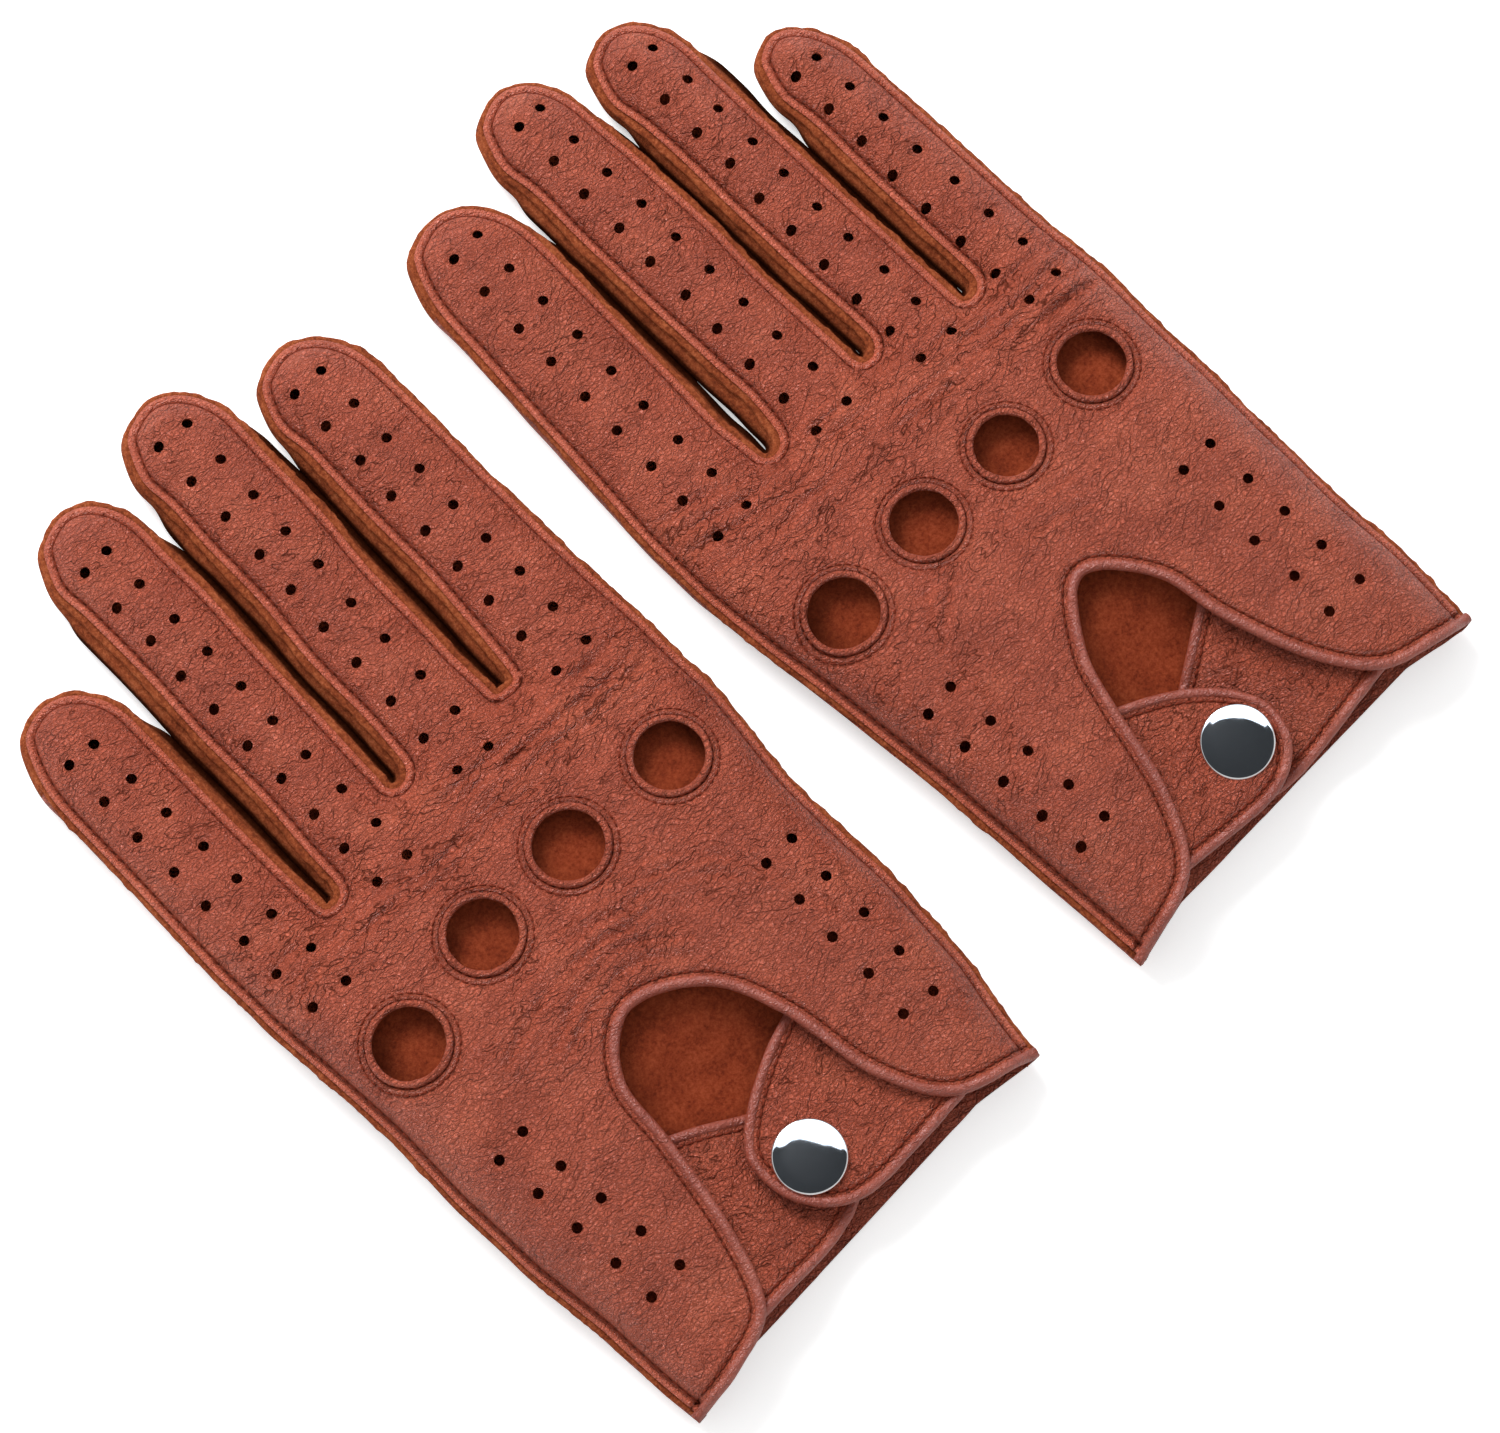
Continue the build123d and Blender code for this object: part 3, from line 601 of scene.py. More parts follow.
def grain_leather(name, dark, mid, light, roughness, grain, worn_level=0.0):
    """Pebbled leather: soft mottling, wrinkle lines across the fingers, painted shade between the pebbles,
    along the lines and in the stitched groove, and a painted highlight on the raised rim.
    """
    paint = Paint(name)
    near = warped(paint.place, 0.9, 0.7)
    far = warped(paint.place, 0.8, 0.9)
    worn = paint.named("crease") + worn_level
    # groove marks painted shade in the stitched groove beside the edges and holes; rim marks the raised rim,
    # smoother and given a painted highlight
    groove = paint.named("groove")
    rim = paint.named("rim")
    plain = 1.0 - rim * 0.85
    pebble = cells(turned(near, 8, (0.92, 1.25, 1.1)), 1.0, 3.0)
    tiny = cells(near, 2.5, 3.2)
    slant = wrinkle_lines(far, 22, 2.6, 5.0, 9.0, 1)
    other = wrinkle_lines(far, -18, 2.9, 5.0, 10.0, 2)
    level = wrinkle_lines(far, 3, 3.4, 4.0, 10.0, 3)
    fine = wrinkle_lines(far, -6, 1.5, 3.0, 6.0, 4)
    deep = level * (worn * 0.6 + 0.15)
    lines = larger(slant, other) * (worn * 0.4 + 0.85)
    lines = larger(larger(lines, deep), fine * 0.55)
    lines = smaller(lines * grain, 1.0) * plain
    bumps = pebble * 0.6 + tiny * 0.4
    height = bumps * grain - lines * 1.2
    speck = add_noise(paint.place, 1.7, 3.0)
    base = add_ramp(add_noise(paint.place, 0.09, 4.0), [(0.25, dark), (0.5, mid), (0.78, light)])
    # painted shade: darker, and with less gloss, in the creases between the pebbles, along the wrinkle lines
    # and in the stitched groove
    shade = larger((1.0 - bumps) * (0.62 * grain) * plain, lines * 0.85)
    shade = smaller(larger(shade, groove), 1.0)
    shaded = add_mix(shade, base, tuple(c * 0.12 for c in dark))
    # brighter by a random speck of tone, and along the raised rim by a painted highlight
    lighter = (speck * 0.12 + rim * 0.3) * (1.0 - shade)
    soft = add_bump(add_noise(far, 0.22, 3.0, 0.55), 0.0007, 0.5)
    paint.set(Base_Color=add_mix(lighter, shaded, light),
              Roughness=speck * 0.18 + (roughness - 0.09),
              Specular_IOR_Level=(1.0 - shade) * 0.7,
              Normal=add_bump(height, 0.00045, 1.0, soft))
    return paint.material


def suede(name, dark, mid, light):
    """Napped raw leather: matt, fibrous and uneven in colour, with painted shade, near black and without
    sheen or gloss, on the lower part of the gusset walls between the fingers.
    """
    paint = Paint(name)
    folded = paint.named("folded")
    blend = add_noise(paint.place, 1.3, 6.0, 0.8) * 0.75 + add_noise(paint.place, 0.22, 3.0) * 0.25
    colour = add_ramp(blend, [(0.38, dark), (0.5, mid), (0.62, light)])
    # painted shade: where the fold shade mark is set, the colour goes near black and the sheen and gloss are
    # taken away
    paint.set(Base_Color=add_mix(folded * 0.97, colour, tuple(c * 0.05 for c in dark)),
              Roughness=0.95,
              Specular_IOR_Level=(1.0 - folded) * 0.12,
              Sheen_Weight=(1.0 - folded) * 0.35,
              Sheen_Roughness=0.5,
              Sheen_Tint=light,
              Normal=add_bump(add_noise(paint.place, 3.2, 5.0, 0.8), 0.0005, 0.9))
    return paint.material


def thread(name, dark, light):
    paint = Paint(name)
    paint.set(Base_Color=add_ramp(add_noise(paint.place, 2.5, 3.0), [(0.35, dark), (0.65, light)]),
              Roughness=0.8,
              Specular_IOR_Level=0.1,
              Normal=add_bump(add_noise(paint.place, 6.0, 2.0), 0.0001, 0.8))
    return paint.material


def metal(name, colour, roughness, on_cad=False):
    """Polished or plated metal; on_cad is for nodes of the frame, which carry no rest places."""
    paint = Paint(name)
    place = paint.place
    if on_cad:
        own = add_node(paint.tree, "TexCoord", "Object")
        grown = paint.tree.nodes.new("ShaderNodeVectorMath")
        grown.operation = "SCALE"
        feed(paint.tree, grown.inputs["Scale"], 1 / MM)
        feed(paint.tree, grown.inputs[0], own)
        place = Wire(grown, 0)
    dull = tuple(c * 0.96 for c in colour)
    paint.set(Metallic=1.0,
              Base_Color=add_ramp(add_noise(place, 0.6, 3.0), [(0.3, dull), (0.7, colour)]),
              Roughness=add_noise(place, 1.3, 4.0) * 0.05 + roughness)
    return paint.material


LEATHER_MAT = grain_leather("red_brown_leather", (0.49, 0.086, 0.040), (0.64, 0.122, 0.059),
                            (0.76, 0.168, 0.084), 0.40, 1.0)
TAB_MAT = grain_leather("tab_leather", (0.54, 0.098, 0.048), (0.72, 0.142, 0.072),
                        (0.84, 0.190, 0.098), 0.36, 1.15, 0.4)
PIPING_MAT = grain_leather("piping_leather", (0.30, 0.057, 0.033), (0.38, 0.080, 0.047),
                           (0.46, 0.112, 0.069), 0.36, 0.35)
SUEDE_MAT = suede("raw_suede", (0.13, 0.023, 0.008), (0.32, 0.066, 0.021), (0.54, 0.150, 0.056))
INNER_MAT = suede("inner_suede", (0.17, 0.024, 0.008), (0.33, 0.052, 0.017), (0.47, 0.090, 0.032))
THREAD_MAT = thread("dark_thread", (0.13, 0.019, 0.009), (0.25, 0.042, 0.020))
CHROME_MAT = metal("polished_chrome", (0.93, 0.94, 0.95), 0.035)
STEEL_MAT = metal("snap_steel", (0.55, 0.55, 0.54), 0.32, on_cad=True)


# ---------------------------------------------------------------- pieces

def make_piece(name, glove, points, faces, materials, face_slots=None, vertex_normals=None, marks=None):
    """Mesh object from plan millimetres, with its rest place kept for the materials."""
    points = np.asarray(points, float)
    if glove.side < 0:
        faces = [tuple(reversed(face)) for face in faces]
    mesh = bpy.data.meshes.new(name)
    mesh.from_pydata(glove.to_row(points).tolist(), [], [tuple(map(int, face)) for face in faces])
    rest = mesh.attributes.new("rest_mm", "FLOAT_VECTOR", "POINT")
    rest.data.foreach_set("vector", points.astype(np.float32).ravel())
    for key, values in (marks or {}).items():
        mark = mesh.attributes.new(key, "FLOAT", "POINT")
        mark.data.foreach_set("value", np.asarray(values, np.float32))
    for material in materials:
        mesh.materials.append(material)
    if face_slots is not None:
        mesh.polygons.foreach_set("material_index", np.asarray(face_slots, np.int32))
    mesh.polygons.foreach_set("use_smooth", np.full(len(mesh.polygons), True))
    mesh.update()
    obj = bpy.data.objects.new(name, mesh)
    bpy.context.scene.collection.objects.link(obj)
    if vertex_normals is not None:
        mesh.normals_split_custom_set_from_vertices(glove.rotated(vertex_normals).tolist())
    return obj


def finish_piece(nodes=()):
    """Hide the solids that a piece is drawn in place of."""
    if nodes:
        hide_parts(*nodes)


BODIES = ["hand", "little_finger", "ring_finger", "middle_finger", "index_finger"]


def solids(kind, *on_hand):
    """Names of the solids that a split piece is drawn in place of, for each body."""
    return [on_hand] + [[f"{finger}_{kind}"] for finger in BODIES[1:]]


def mount(obj, glove, label):
    """Ride a piece on the hand; a piece on a finger only has its placing baked into its mesh."""
    hand = f"{glove.name}_hand"
    if label == 0:
        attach(obj, hand)
        return
    name, hinge, root_x = glove.data["fingers"][label - 1][:3]
    low = max(glove.cuts[label - 1][1], glove.cuts[label][1]) + 0.2
    high = 2 * hinge - low + 4.0
    start, end = (glove.to_row([root_x, y, 6.0]) for y in (low, high))
    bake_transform(obj)


def split_pieces(stem, glove, points, faces, materials, face_slots=None, vertex_normals=None, nodes=None,
                 slot="leather", marks=None):
    """One object per body, cut from a mesh that runs over the whole glove."""
    points = np.asarray(points, float)
    labels = glove.label(np.array([points[list(face), :2].mean(0) for face in faces]))
    for label, body in enumerate(BODIES):
        chosen = np.flatnonzero(labels == label)
        if not len(chosen):
            continue
        part_faces = [faces[k] for k in chosen]
        used = np.unique(np.concatenate([np.asarray(face) for face in part_faces]))
        remap = np.full(len(points), -1)
        remap[used] = np.arange(len(used))
        part_faces = [tuple(remap[list(face)]) for face in part_faces]
        slots = None if face_slots is None else np.asarray(face_slots)[chosen]
        normals = None if vertex_normals is None else vertex_normals[used]
        kept = {key: values[used] for key, values in (marks or {}).items()}
        obj = make_piece(f"{glove.name}_{body}_{stem}", glove, points[used], part_faces, materials,
                         slots, normals, kept)
        mount(obj, glove, label)
        finish_piece([f"{glove.name}_{node}" for node in nodes[label]] if nodes else ())


# ---------------------------------------------------------------- sheets, cords and skins

def in_sheet(points, outline, holes):
    """True for points inside the outline and outside every hole."""
    hit = inside(points, outline)
    for hole in holes:
        hit &= ~inside(points, hole)
    return hit


def sheet_grid(outline, holes, rings, spacing, seed):
    """Slightly shaken triangular grid inside a sheet, kept clear of its edges and rings."""
    rng = np.random.default_rng(seed)
    low, high = outline.min(0), outline.max(0)
    xs = np.arange(low[0], high[0], spacing)
    ys = np.arange(low[1], high[1], spacing * 0.866)
    grid = np.stack(np.meshgrid(xs, ys), -1)
    grid[1::2, :, 0] += spacing / 2
    grid = grid.reshape(-1, 2)
    grid = grid + rng.uniform(-0.12, 0.12, grid.shape) * spacing
    grid = grid[in_sheet(grid, outline, holes)]
    grid = grid[nearest(grid, outline, True) > spacing * 0.55]
    for ring, gap in rings:
        grid = grid[nearest(grid, ring) > gap]
    for hole in holes:
        around = np.flatnonzero(np.abs(grid - hole.mean(0)).max(1) < 16)
        crowded = around[nearest(grid[around], hole, True) <= 0.45 * spacing]
        grid = np.delete(grid, crowded, axis=0)
    return grid


def plan_mesh(outline, holes, lines, rings, spacing, seed):
    """Triangles filling a closed outline less its holes, with extra points along rings."""
    points, edges = [], []
    for loop in [outline] + holes:
        base = len(points)
        points += loop.tolist()
        edges += [(base + k, base + (k + 1) % len(loop)) for k in range(len(loop))]
    for line in lines:
        base = len(points)
        points += line.tolist()
        edges += [(base + k, base + k + 1) for k in range(len(line) - 1)]
    for ring, gap in rings:
        points += ring[in_sheet(ring, outline, holes)].tolist()
    points += sheet_grid(outline, holes, rings, spacing, seed).tolist()
    verts, _, faces, *_ = delaunay_2d_cdt([Vector(p) for p in points], edges, [], 0, 1e-4)
    verts = np.array([tuple(v) for v in verts])
    faces = np.array([face for face in faces if len(face) == 3])
    faces = faces[in_sheet(verts[faces].mean(1), outline, holes)]
    a, b, c = (verts[faces[:, k]] for k in range(3))
    area = (b[:, 0] - a[:, 0]) * (c[:, 1] - a[:, 1]) - (b[:, 1] - a[:, 1]) * (c[:, 0] - a[:, 0])
    faces[area < 0] = faces[area < 0][:, ::-1]
    used = np.unique(faces)
    remap = np.full(len(verts), -1)
    remap[used] = np.arange(len(used))
    return verts[used], remap[faces]


def surface_normals(points, faces):
    a, b, c = (points[faces[:, k]] for k in range(3))
    n = np.cross(b - a, c - a)
    out = np.zeros_like(points)
    for k in range(3):
        np.add.at(out, faces[:, k], n)
    return out / (np.linalg.norm(out, axis=1, keepdims=True) + 1e-12)


def relax(z, faces, fixed, passes):
    """Heights evened out between neighbours, apart from the fixed points."""
    edges = np.vstack([faces[:, [0, 1]], faces[:, [1, 2]], faces[:, [2, 0]]])
    count = np.zeros(len(z))
    for end in (0, 1):
        np.add.at(count, edges[:, end], 1)
    for _ in range(passes):
        total = np.zeros(len(z))
        for end in (0, 1):
            np.add.at(total, edges[:, end], z[edges[:, 1 - end]])
        z = np.where(fixed, z, 0.5 * z + 0.5 * total / count)
    return z


def shell(points, faces, thickness, downwards=True):
    """Closed sheet from a surface: face, lining and cut edge."""
    normals = surface_normals(points, faces)
    sign = -1.0 if downwards else 1.0
    lining = points + sign * thickness * normals
    n = len(points)
    edges = {(f[k], f[(k + 1) % 3]) for f in faces.tolist() for k in range(3)}
    rim = [(f[k], f[(k + 1) % 3]) for f in faces.tolist() for k in range(3)
           if (f[(k + 1) % 3], f[k]) not in edges]
    top = [tuple(f) for f in faces]
    bottom = [tuple(n + v for v in reversed(f)) for f in top]
    walls = [(b, a, n + a, n + b) for a, b in rim]
    all_faces = top + bottom + walls
    slots = [0] * len(top) + [1] * (len(bottom) + len(walls))
    if not downwards:
        all_faces = [tuple(reversed(f)) for f in all_faces]
    return np.vstack([points, lining]), all_faces, slots, np.vstack([normals, -normals])


def ring_faces(rows, sides, closed=False, capped=True, inwards=False):
    """Faces of a skin over rows of points, each row a ring of so many."""
    faces = []
    for i in range(rows if closed else rows - 1):
        j = (i + 1) % rows
        for k in range(sides):
            m = (k + 1) % sides
            a, b, c, d = i * sides + k, i * sides + m, j * sides + m, j * sides + k
            faces.append((a, d, c, b) if inwards else (a, b, c, d))
    if capped:
        faces.append(tuple(range(sides - 1, -1, -1)))
        faces.append(tuple((rows - 1) * sides + k for k in range(sides)))
    return faces


def tube(path, radius, sides=8, closed=False, wobble=0.0, seed=1):
    """Round cord along a 3-D path."""
    path = np.asarray(path, float)
    if closed:
        ahead = np.roll(path, -1, 0) - np.roll(path, 1, 0)
    else:
        ahead = np.gradient(path, axis=0)
    ahead /= np.linalg.norm(ahead, axis=1, keepdims=True) + 1e-9
    across = np.cross(ahead, [0, 0, 1.0])
    across /= np.linalg.norm(across, axis=1, keepdims=True) + 1e-9
    up = np.cross(across, ahead)
    angle = (np.arange(sides) * 2 * math.pi / sides)[None, :, None]
    size = radius * (1 + wobble * (noise_along(len(path), 3.0, seed) - 0.5))
    spokes = np.cos(angle) * across[:, None] + np.sin(angle) * up[:, None]
    rings = path[:, None] + size[:, None, None] * spokes
    return rings.reshape(-1, 3), ring_faces(len(path), sides, closed, not closed)


def merge(parts):
    points, faces = [], []
    for p, f in parts:
        base = len(points)
        points += np.asarray(p).tolist()
        faces += [tuple(base + v for v in face) for face in f]
    return points, faces


# how far along a stitch, and how high its thread stands over the leather there
STITCH_ARCH = [(0.0, -0.30), (0.2, 0.06), (0.5, 0.16), (0.8, 0.06), (1.0, -0.30)]


def stitches(path, length, gap, radius, up=1.0):
    """Run of short threads along a 3-D path, both ends ducking into the leather; up is -1 underneath."""
    path = np.asarray(path, float)
    run = np.concatenate([[0], np.cumsum(np.linalg.norm(np.diff(path, axis=0), axis=1))])
    parts = []
    at = gap / 2
    while at + length < run[-1]:
        spots = []
        for t, lift in STITCH_ARCH:
            here = np.array([np.interp(at + t * length, run, path[:, k]) for k in range(3)])
            here[2] += lift * up
            spots.append(here)
        parts.append(tube(spots, radius, 6))
        at += length + gap
    return merge(parts)


def grid_holes(corners, count):
    """Two columns of holes between the pairs of corner places."""
    a, b, c, d = np.array(corners)
    t = np.linspace(0, 1, count)[:, None]
    return np.vstack([a + (c - a) * t, b + (d - b) * t])


def ring_points(x, y, radius, count):
    a = np.arange(count) * 2 * math.pi / count
    return np.stack([x + radius * np.cos(a), y + radius * np.sin(a)], -1)


# ---------------------------------------------------------------- the hand and the fingers

def back_panel(glove, rng):
    """One sheet of grain leather over the hand and the four fingers."""
    data = glove.data
    outline = np.vstack([glove.seam, glove.edge[::-1][1:-1]])
    groups = data["finger_holes"] + data["hand_holes"]
    perforations = np.vstack([grid_holes(group[:4], group[4]) for group in groups])
    perforations = perforations + rng.uniform(-0.35, 0.35, perforations.shape)
    holes = [ring_points(x, y, r + 0.7, 44) for x, y, r in data["knuckles"]]
    holes += [ring_points(x, y, 1.1, 12) for x, y in perforations]
    rings = []
    for d in (0.75, 1.35, 1.75, 2.15, 2.7):
        ring = glove.seam + glove.seam_normals * d
        rings.append((ring[nearest(ring, glove.seam) > d * 0.93], 0.35))
    for d in (1.5, 2.3, 2.9, 3.6, 4.4):
        rings.append((glove.opening + glove.opening_out * d, 0.35))
    for x, y, r in data["knuckles"]:
        rings += [(ring_points(x, y, r + d, 56), 0.4) for d in (1.05, 1.4, 2.0, 2.7, 3.3)]
    xy, faces = plan_mesh(outline, holes, glove.cut_lines(), rings, BACK_GRID, 3)
    d = glove.seam_distance(xy)
    crown = glove.crown(xy, d)
    z = relax(crown, faces, d < 3.0, 12) + glove.back_height(xy, d) - crown
    for x, y in perforations:
        z = z - 0.30 * bell(np.hypot(xy[:, 0] - x, xy[:, 1] - y), 1.1, 0.8)
    points, faces, slots, normals = shell(np.column_stack([xy, z]), faces, LEATHER)
    # crease sets the wrinkle lines, groove the painted shade in the stitched groove, rim the painted
    # highlight on the raised rim
    marks = {"crease": glove.crease(xy), "groove": glove.groove_shade(xy), "rim": bell(d, 0.6, 0.6)}
    split_pieces("back", glove, points, faces, [LEATHER_MAT, INNER_MAT], slots, normals,
                 solids("back", "back_panel"), marks={key: np.tile(mark, 2) for key, mark in marks.items()})


# section of the raw edge: reach into the glove, and drop below the back surface
EDGE_SECTION = [(1.2, -1.0), (0.4, -0.55), (-0.35, -0.5), (-0.8, -0.75), (-1.0, -1.1), (-0.75, -1.7),
                (0.2, -1.9), (1.2, -1.8)]


def seam_edge(glove, rng):
    """Raw suede edge of the under layer, standing out beyond the back panel all along the outseam."""
    count = len(glove.seam)
    fuzz = noise_along(count, 2.3, 21 + glove.side)
    outward = 0.65 + 0.45 * glove.seam_kinds + 0.4 * noise_along(count, 9.0, 31) + 0.35 * fuzz
    outward += rng.uniform(-0.12, 0.12, count)
    rows = []
    for reach, drop in EDGE_SECTION:
        out = reach * np.where(reach < 0, outward, 1.0)
        plan = glove.seam + glove.seam_normals * out[:, None]
        rows.append(np.column_stack([plan, glove.edge_z + drop + 0.15 * (fuzz - 0.5)]))
    band = np.stack(rows, 1).reshape(-1, 3)
    faces = ring_faces(count, len(EDGE_SECTION), capped=False, inwards=True)
    split_pieces("seam_edge", glove, band, faces, [SUEDE_MAT], slot="suede")


def side_walls(glove):
    """Suede gussets between the fingers, the palm's turned-up side elsewhere."""
    count = len(glove.seam)
    kinds = glove.seam_kinds
    gap = glove.gap_across()
    side_bulge = 0.75 - 0.25 * glove.facing
    web_bulge = np.minimum((0.35 - 0.07 * glove.facing) * gap, 2.8 - 0.6 * glove.facing)
    bulge = side_bulge * (1 - kinds) + np.maximum(web_bulge, 0.8) * kinds
    bulge = soften(bulge * (0.9 + 0.2 * noise_along(count, 7.0, 41)), 3)
    meeting = soften(np.minimum(0.5 * gap + 0.6, 4.3) * kinds, 3)
    palm_z = profile(PALM_Z, glove.seam[:, 1]) + 1.3
    top_z = glove.edge_z - 1.5
    rows, folded = [], []
    for t in np.linspace(0, 1, 9):
        push = np.sin(math.pi * (0.08 + 0.84 * t))
        # low down, the walls of two neighbouring fingers meet
        low = bell(t, 0.72, 0.16)
        reach = bulge * (1 - low) + np.maximum(bulge, meeting) * low
        plan = glove.seam + glove.seam_normals * (0.9 - (reach + 0.9) * push**(1 - 0.6 * low))[:, None]
        rows.append(np.column_stack([plan, top_z + (palm_z - top_z) * t]))
        # painted shade for the suede: 1 on the lower part of each wall between two fingers, 0 near its top,
        # at its very foot and on the palm's turned-up sides
        folded.append(min(np.clip((t - 0.3) / 0.22, 0, 1), (1 - t) / 0.2) * kinds)
    thickness = np.column_stack([glove.seam_normals * 0.8, np.zeros(count)])
    lining = [row + thickness for row in rows[::-1]]
    wall = np.stack(rows + lining, 1).reshape(-1, 3)
    folded = np.stack(folded + folded[::-1], 1).ravel()
    sides = 2 * len(rows)
    faces = ring_faces(count, sides, capped=False, inwards=True)
    slots = np.repeat(np.where(kinds[:-1] > 0.3, 0, 1), sides)
    split_pieces("gusset", glove, wall, faces, [SUEDE_MAT, LEATHER_MAT], slots, None,
                 solids("gussets", "web_gussets"), "suede", {"folded": folded})


def palm_panel(glove):
    """Palm leather over the whole underside, with its grain side turned in at the wrist hem."""
    little_end, thumb_end = glove.seam[0], glove.seam[-1]
    hem_rise = glove.data["hem_rise"]
    hem = even(np.array([thumb_end, little_end]), 1.2)[1:-1]
    along = np.linspace(0, 1, len(hem) + 2)[1:-1]
    hem[:, 1] += hem_rise * np.clip(np.sin(math.pi * along) * 2.2, 0, 1)
    xy, faces = plan_mesh(np.vstack([glove.seam, hem]), [], glove.cut_lines(), [], PALM_GRID, 4)
    x, y = xy.T
    d = glove.seam_distance(xy)
    crease = 0.35 * fold_noise((x + 4) / 9, y / 3.5, 77 + glove.side)
    curl = 1 - np.sqrt(np.clip(1 - (1 - np.clip(d / 5, 0, 1))**2, 0, 1))
    z = profile(PALM_Z, y) + 1.4 * curl + crease * np.clip(d / 4, 0, 1)
    # the middle of the palm is raised, clear of the thumb folded under it
    raised = np.clip((d - 3) / 12, 0, 1) * np.clip((y + 66) / 20, 0, 1) * np.clip((14 - y) / 16, 0, 1)
    z = z + 4.3 * raised * raised * (3 - 2 * raised)
    points, shell_faces, slots, normals = shell(np.column_stack([xy, z]), faces, LEATHER, downwards=False)
    wrist_y = np.interp(x, [little_end[0], thumb_end[0]], [little_end[1], thumb_end[1]])
    in_hem = (y < wrist_y + hem_rise + 7.0)[faces].all(1)
    slots = np.array(slots)
    slots[len(faces):2 * len(faces)][in_hem] = 0
    slots[2 * len(faces):] = 0
    split_pieces("palm", glove, points, shell_faces, [LEATHER_MAT, INNER_MAT], slots, -normals,
                 solids("palm", "palm_panel", "wrist_hem"))


def seam_stitching(glove):
    """Thread along the outseam, above and below."""
    line = glove.seam + glove.seam_normals * 1.75
    clear = nearest(line, glove.seam) > 1.6
    line = glove.on_back(soften(line[clear], 2), 0.12)
    split_pieces("seam_stitches", glove, *stitches(line, *SEAM_STITCH), [THREAD_MAT])
    under = np.column_stack([line[:, :2], profile(PALM_Z, line[:, 1]) + 0.25])
    split_pieces("palm_stitches", glove, *stitches(under, *SEAM_STITCH, -1.0), [THREAD_MAT])


def hand_piece(glove, suffix, parts, material, node=None):
    """A piece made of cords that all ride on the hand."""
    obj = make_piece(f"{glove.name}_hand_{suffix}", glove, *merge(parts), [material])
    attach(obj, f"{glove.name}_hand")
    finish_piece([f"{glove.name}_{node}"] if node else ())


def opening_trim(glove):
    """Threads, piping and rolled rims round the wrist opening and the knuckle holes."""
    knuckles = glove.data["knuckles"]
    line = glove.opening + glove.opening_out * 2.9
    line = line[glove.seam_distance(line) > 2.5]
    threads = [stitches(glove.on_back(line, 0.12), 1.5, 0.6, 0.2)]
    for x, y, r in knuckles:
        for offset in (1.35, 2.75):
            loop = ring_points(x, y, r + offset, 72)
            loop = np.vstack([loop, loop[:1]])
            threads.append(stitches(glove.on_back(loop, 0.12), 1.25, 0.6, 0.18))
    hand_piece(glove, "stitches", threads, THREAD_MAT)
    line = glove.opening + glove.opening_out * 1.0
    z = glove.on_back(line + glove.opening_out * 1.4)[:, 2]
    cord = tube(np.column_stack([line, soften(z, 4) - 0.25]), 1.08, 14, wobble=0.12)
    hand_piece(glove, "piping", [cord], PIPING_MAT, "opening_piping")
    rims = []
    for k, (x, y, r) in enumerate(knuckles):
        loop = glove.on_back(ring_points(x, y, r + 0.62, 72), -0.1)
        rims.append(tube(loop, 0.72, 12, closed=True, wobble=0.25, seed=k + 2))
    hand_piece(glove, "knuckle_rims", rims, LEATHER_MAT, node="knuckle_facings")


# ---------------------------------------------------------------- tabs, snap and thumb

class Tab:
    """Plan and height of a tab, from its fold line at the opening to its free end at the snap."""

    def __init__(self, glove, name, root_z, end_z):
        start, end = np.array(glove.data[name.replace("tab", "fold")])
        snap = np.array(glove.data["snap"])
        along = (end - start) / np.linalg.norm(end - start)
        inward = np.array([-along[1], along[0]])
        self.side = glove.side
        self.middle = (start + end) / 2
        self.inward = inward if np.dot(snap - self.middle, inward) > 0 else -inward
        self.reach = np.dot(snap - self.middle, self.inward)
        self.root_z = root_z
        self.end_z = end_z
        self.path = curve_through(glove.data[name], 0.9)
        root = even(np.array([self.path[-1], self.path[0]]), 1.1)[1:-1]
        self.outline = np.vstack([self.path, root])
        self.inset = side_normals(self.path)
        if area_sign(self.outline) > 0:
            self.inset = -self.inset
        else:
            self.outline = self.outline[::-1]

    def height(self, xy, detail=True):
        x, y = xy.T
        t = np.clip(((xy - self.middle) @ self.inward - 0.5) / max(self.reach - 6.0, 4.0), 0, 1)
        z = self.root_z + (self.end_z - self.root_z) * t * t * (3 - 2 * t)
        e = nearest(xy, self.path)
        z = z - 0.35 * bell(e, 2.5, 0.4) + 0.2 * bell(e, 3.6, 0.8)
        z = z + 0.5 * (value_noise(x / 9, y / 9, 51 + self.side) - 0.5)
        if detail:
            z = z - 0.2 * fold_noise((x + y) / 7, (y - x) / 3, 61) * np.clip((e - 3) / 2, 0, 1)
        return z

    def inner_line(self, inset, lift):
        """3-D path beside the free edge."""
        line = self.path + self.inset * inset
        return np.column_stack([line, self.height(line, False) + lift])


def area_sign(path):
    x, y = path.T
    return float(np.sum(x * np.roll(y, -1) - y * np.roll(x, -1)))


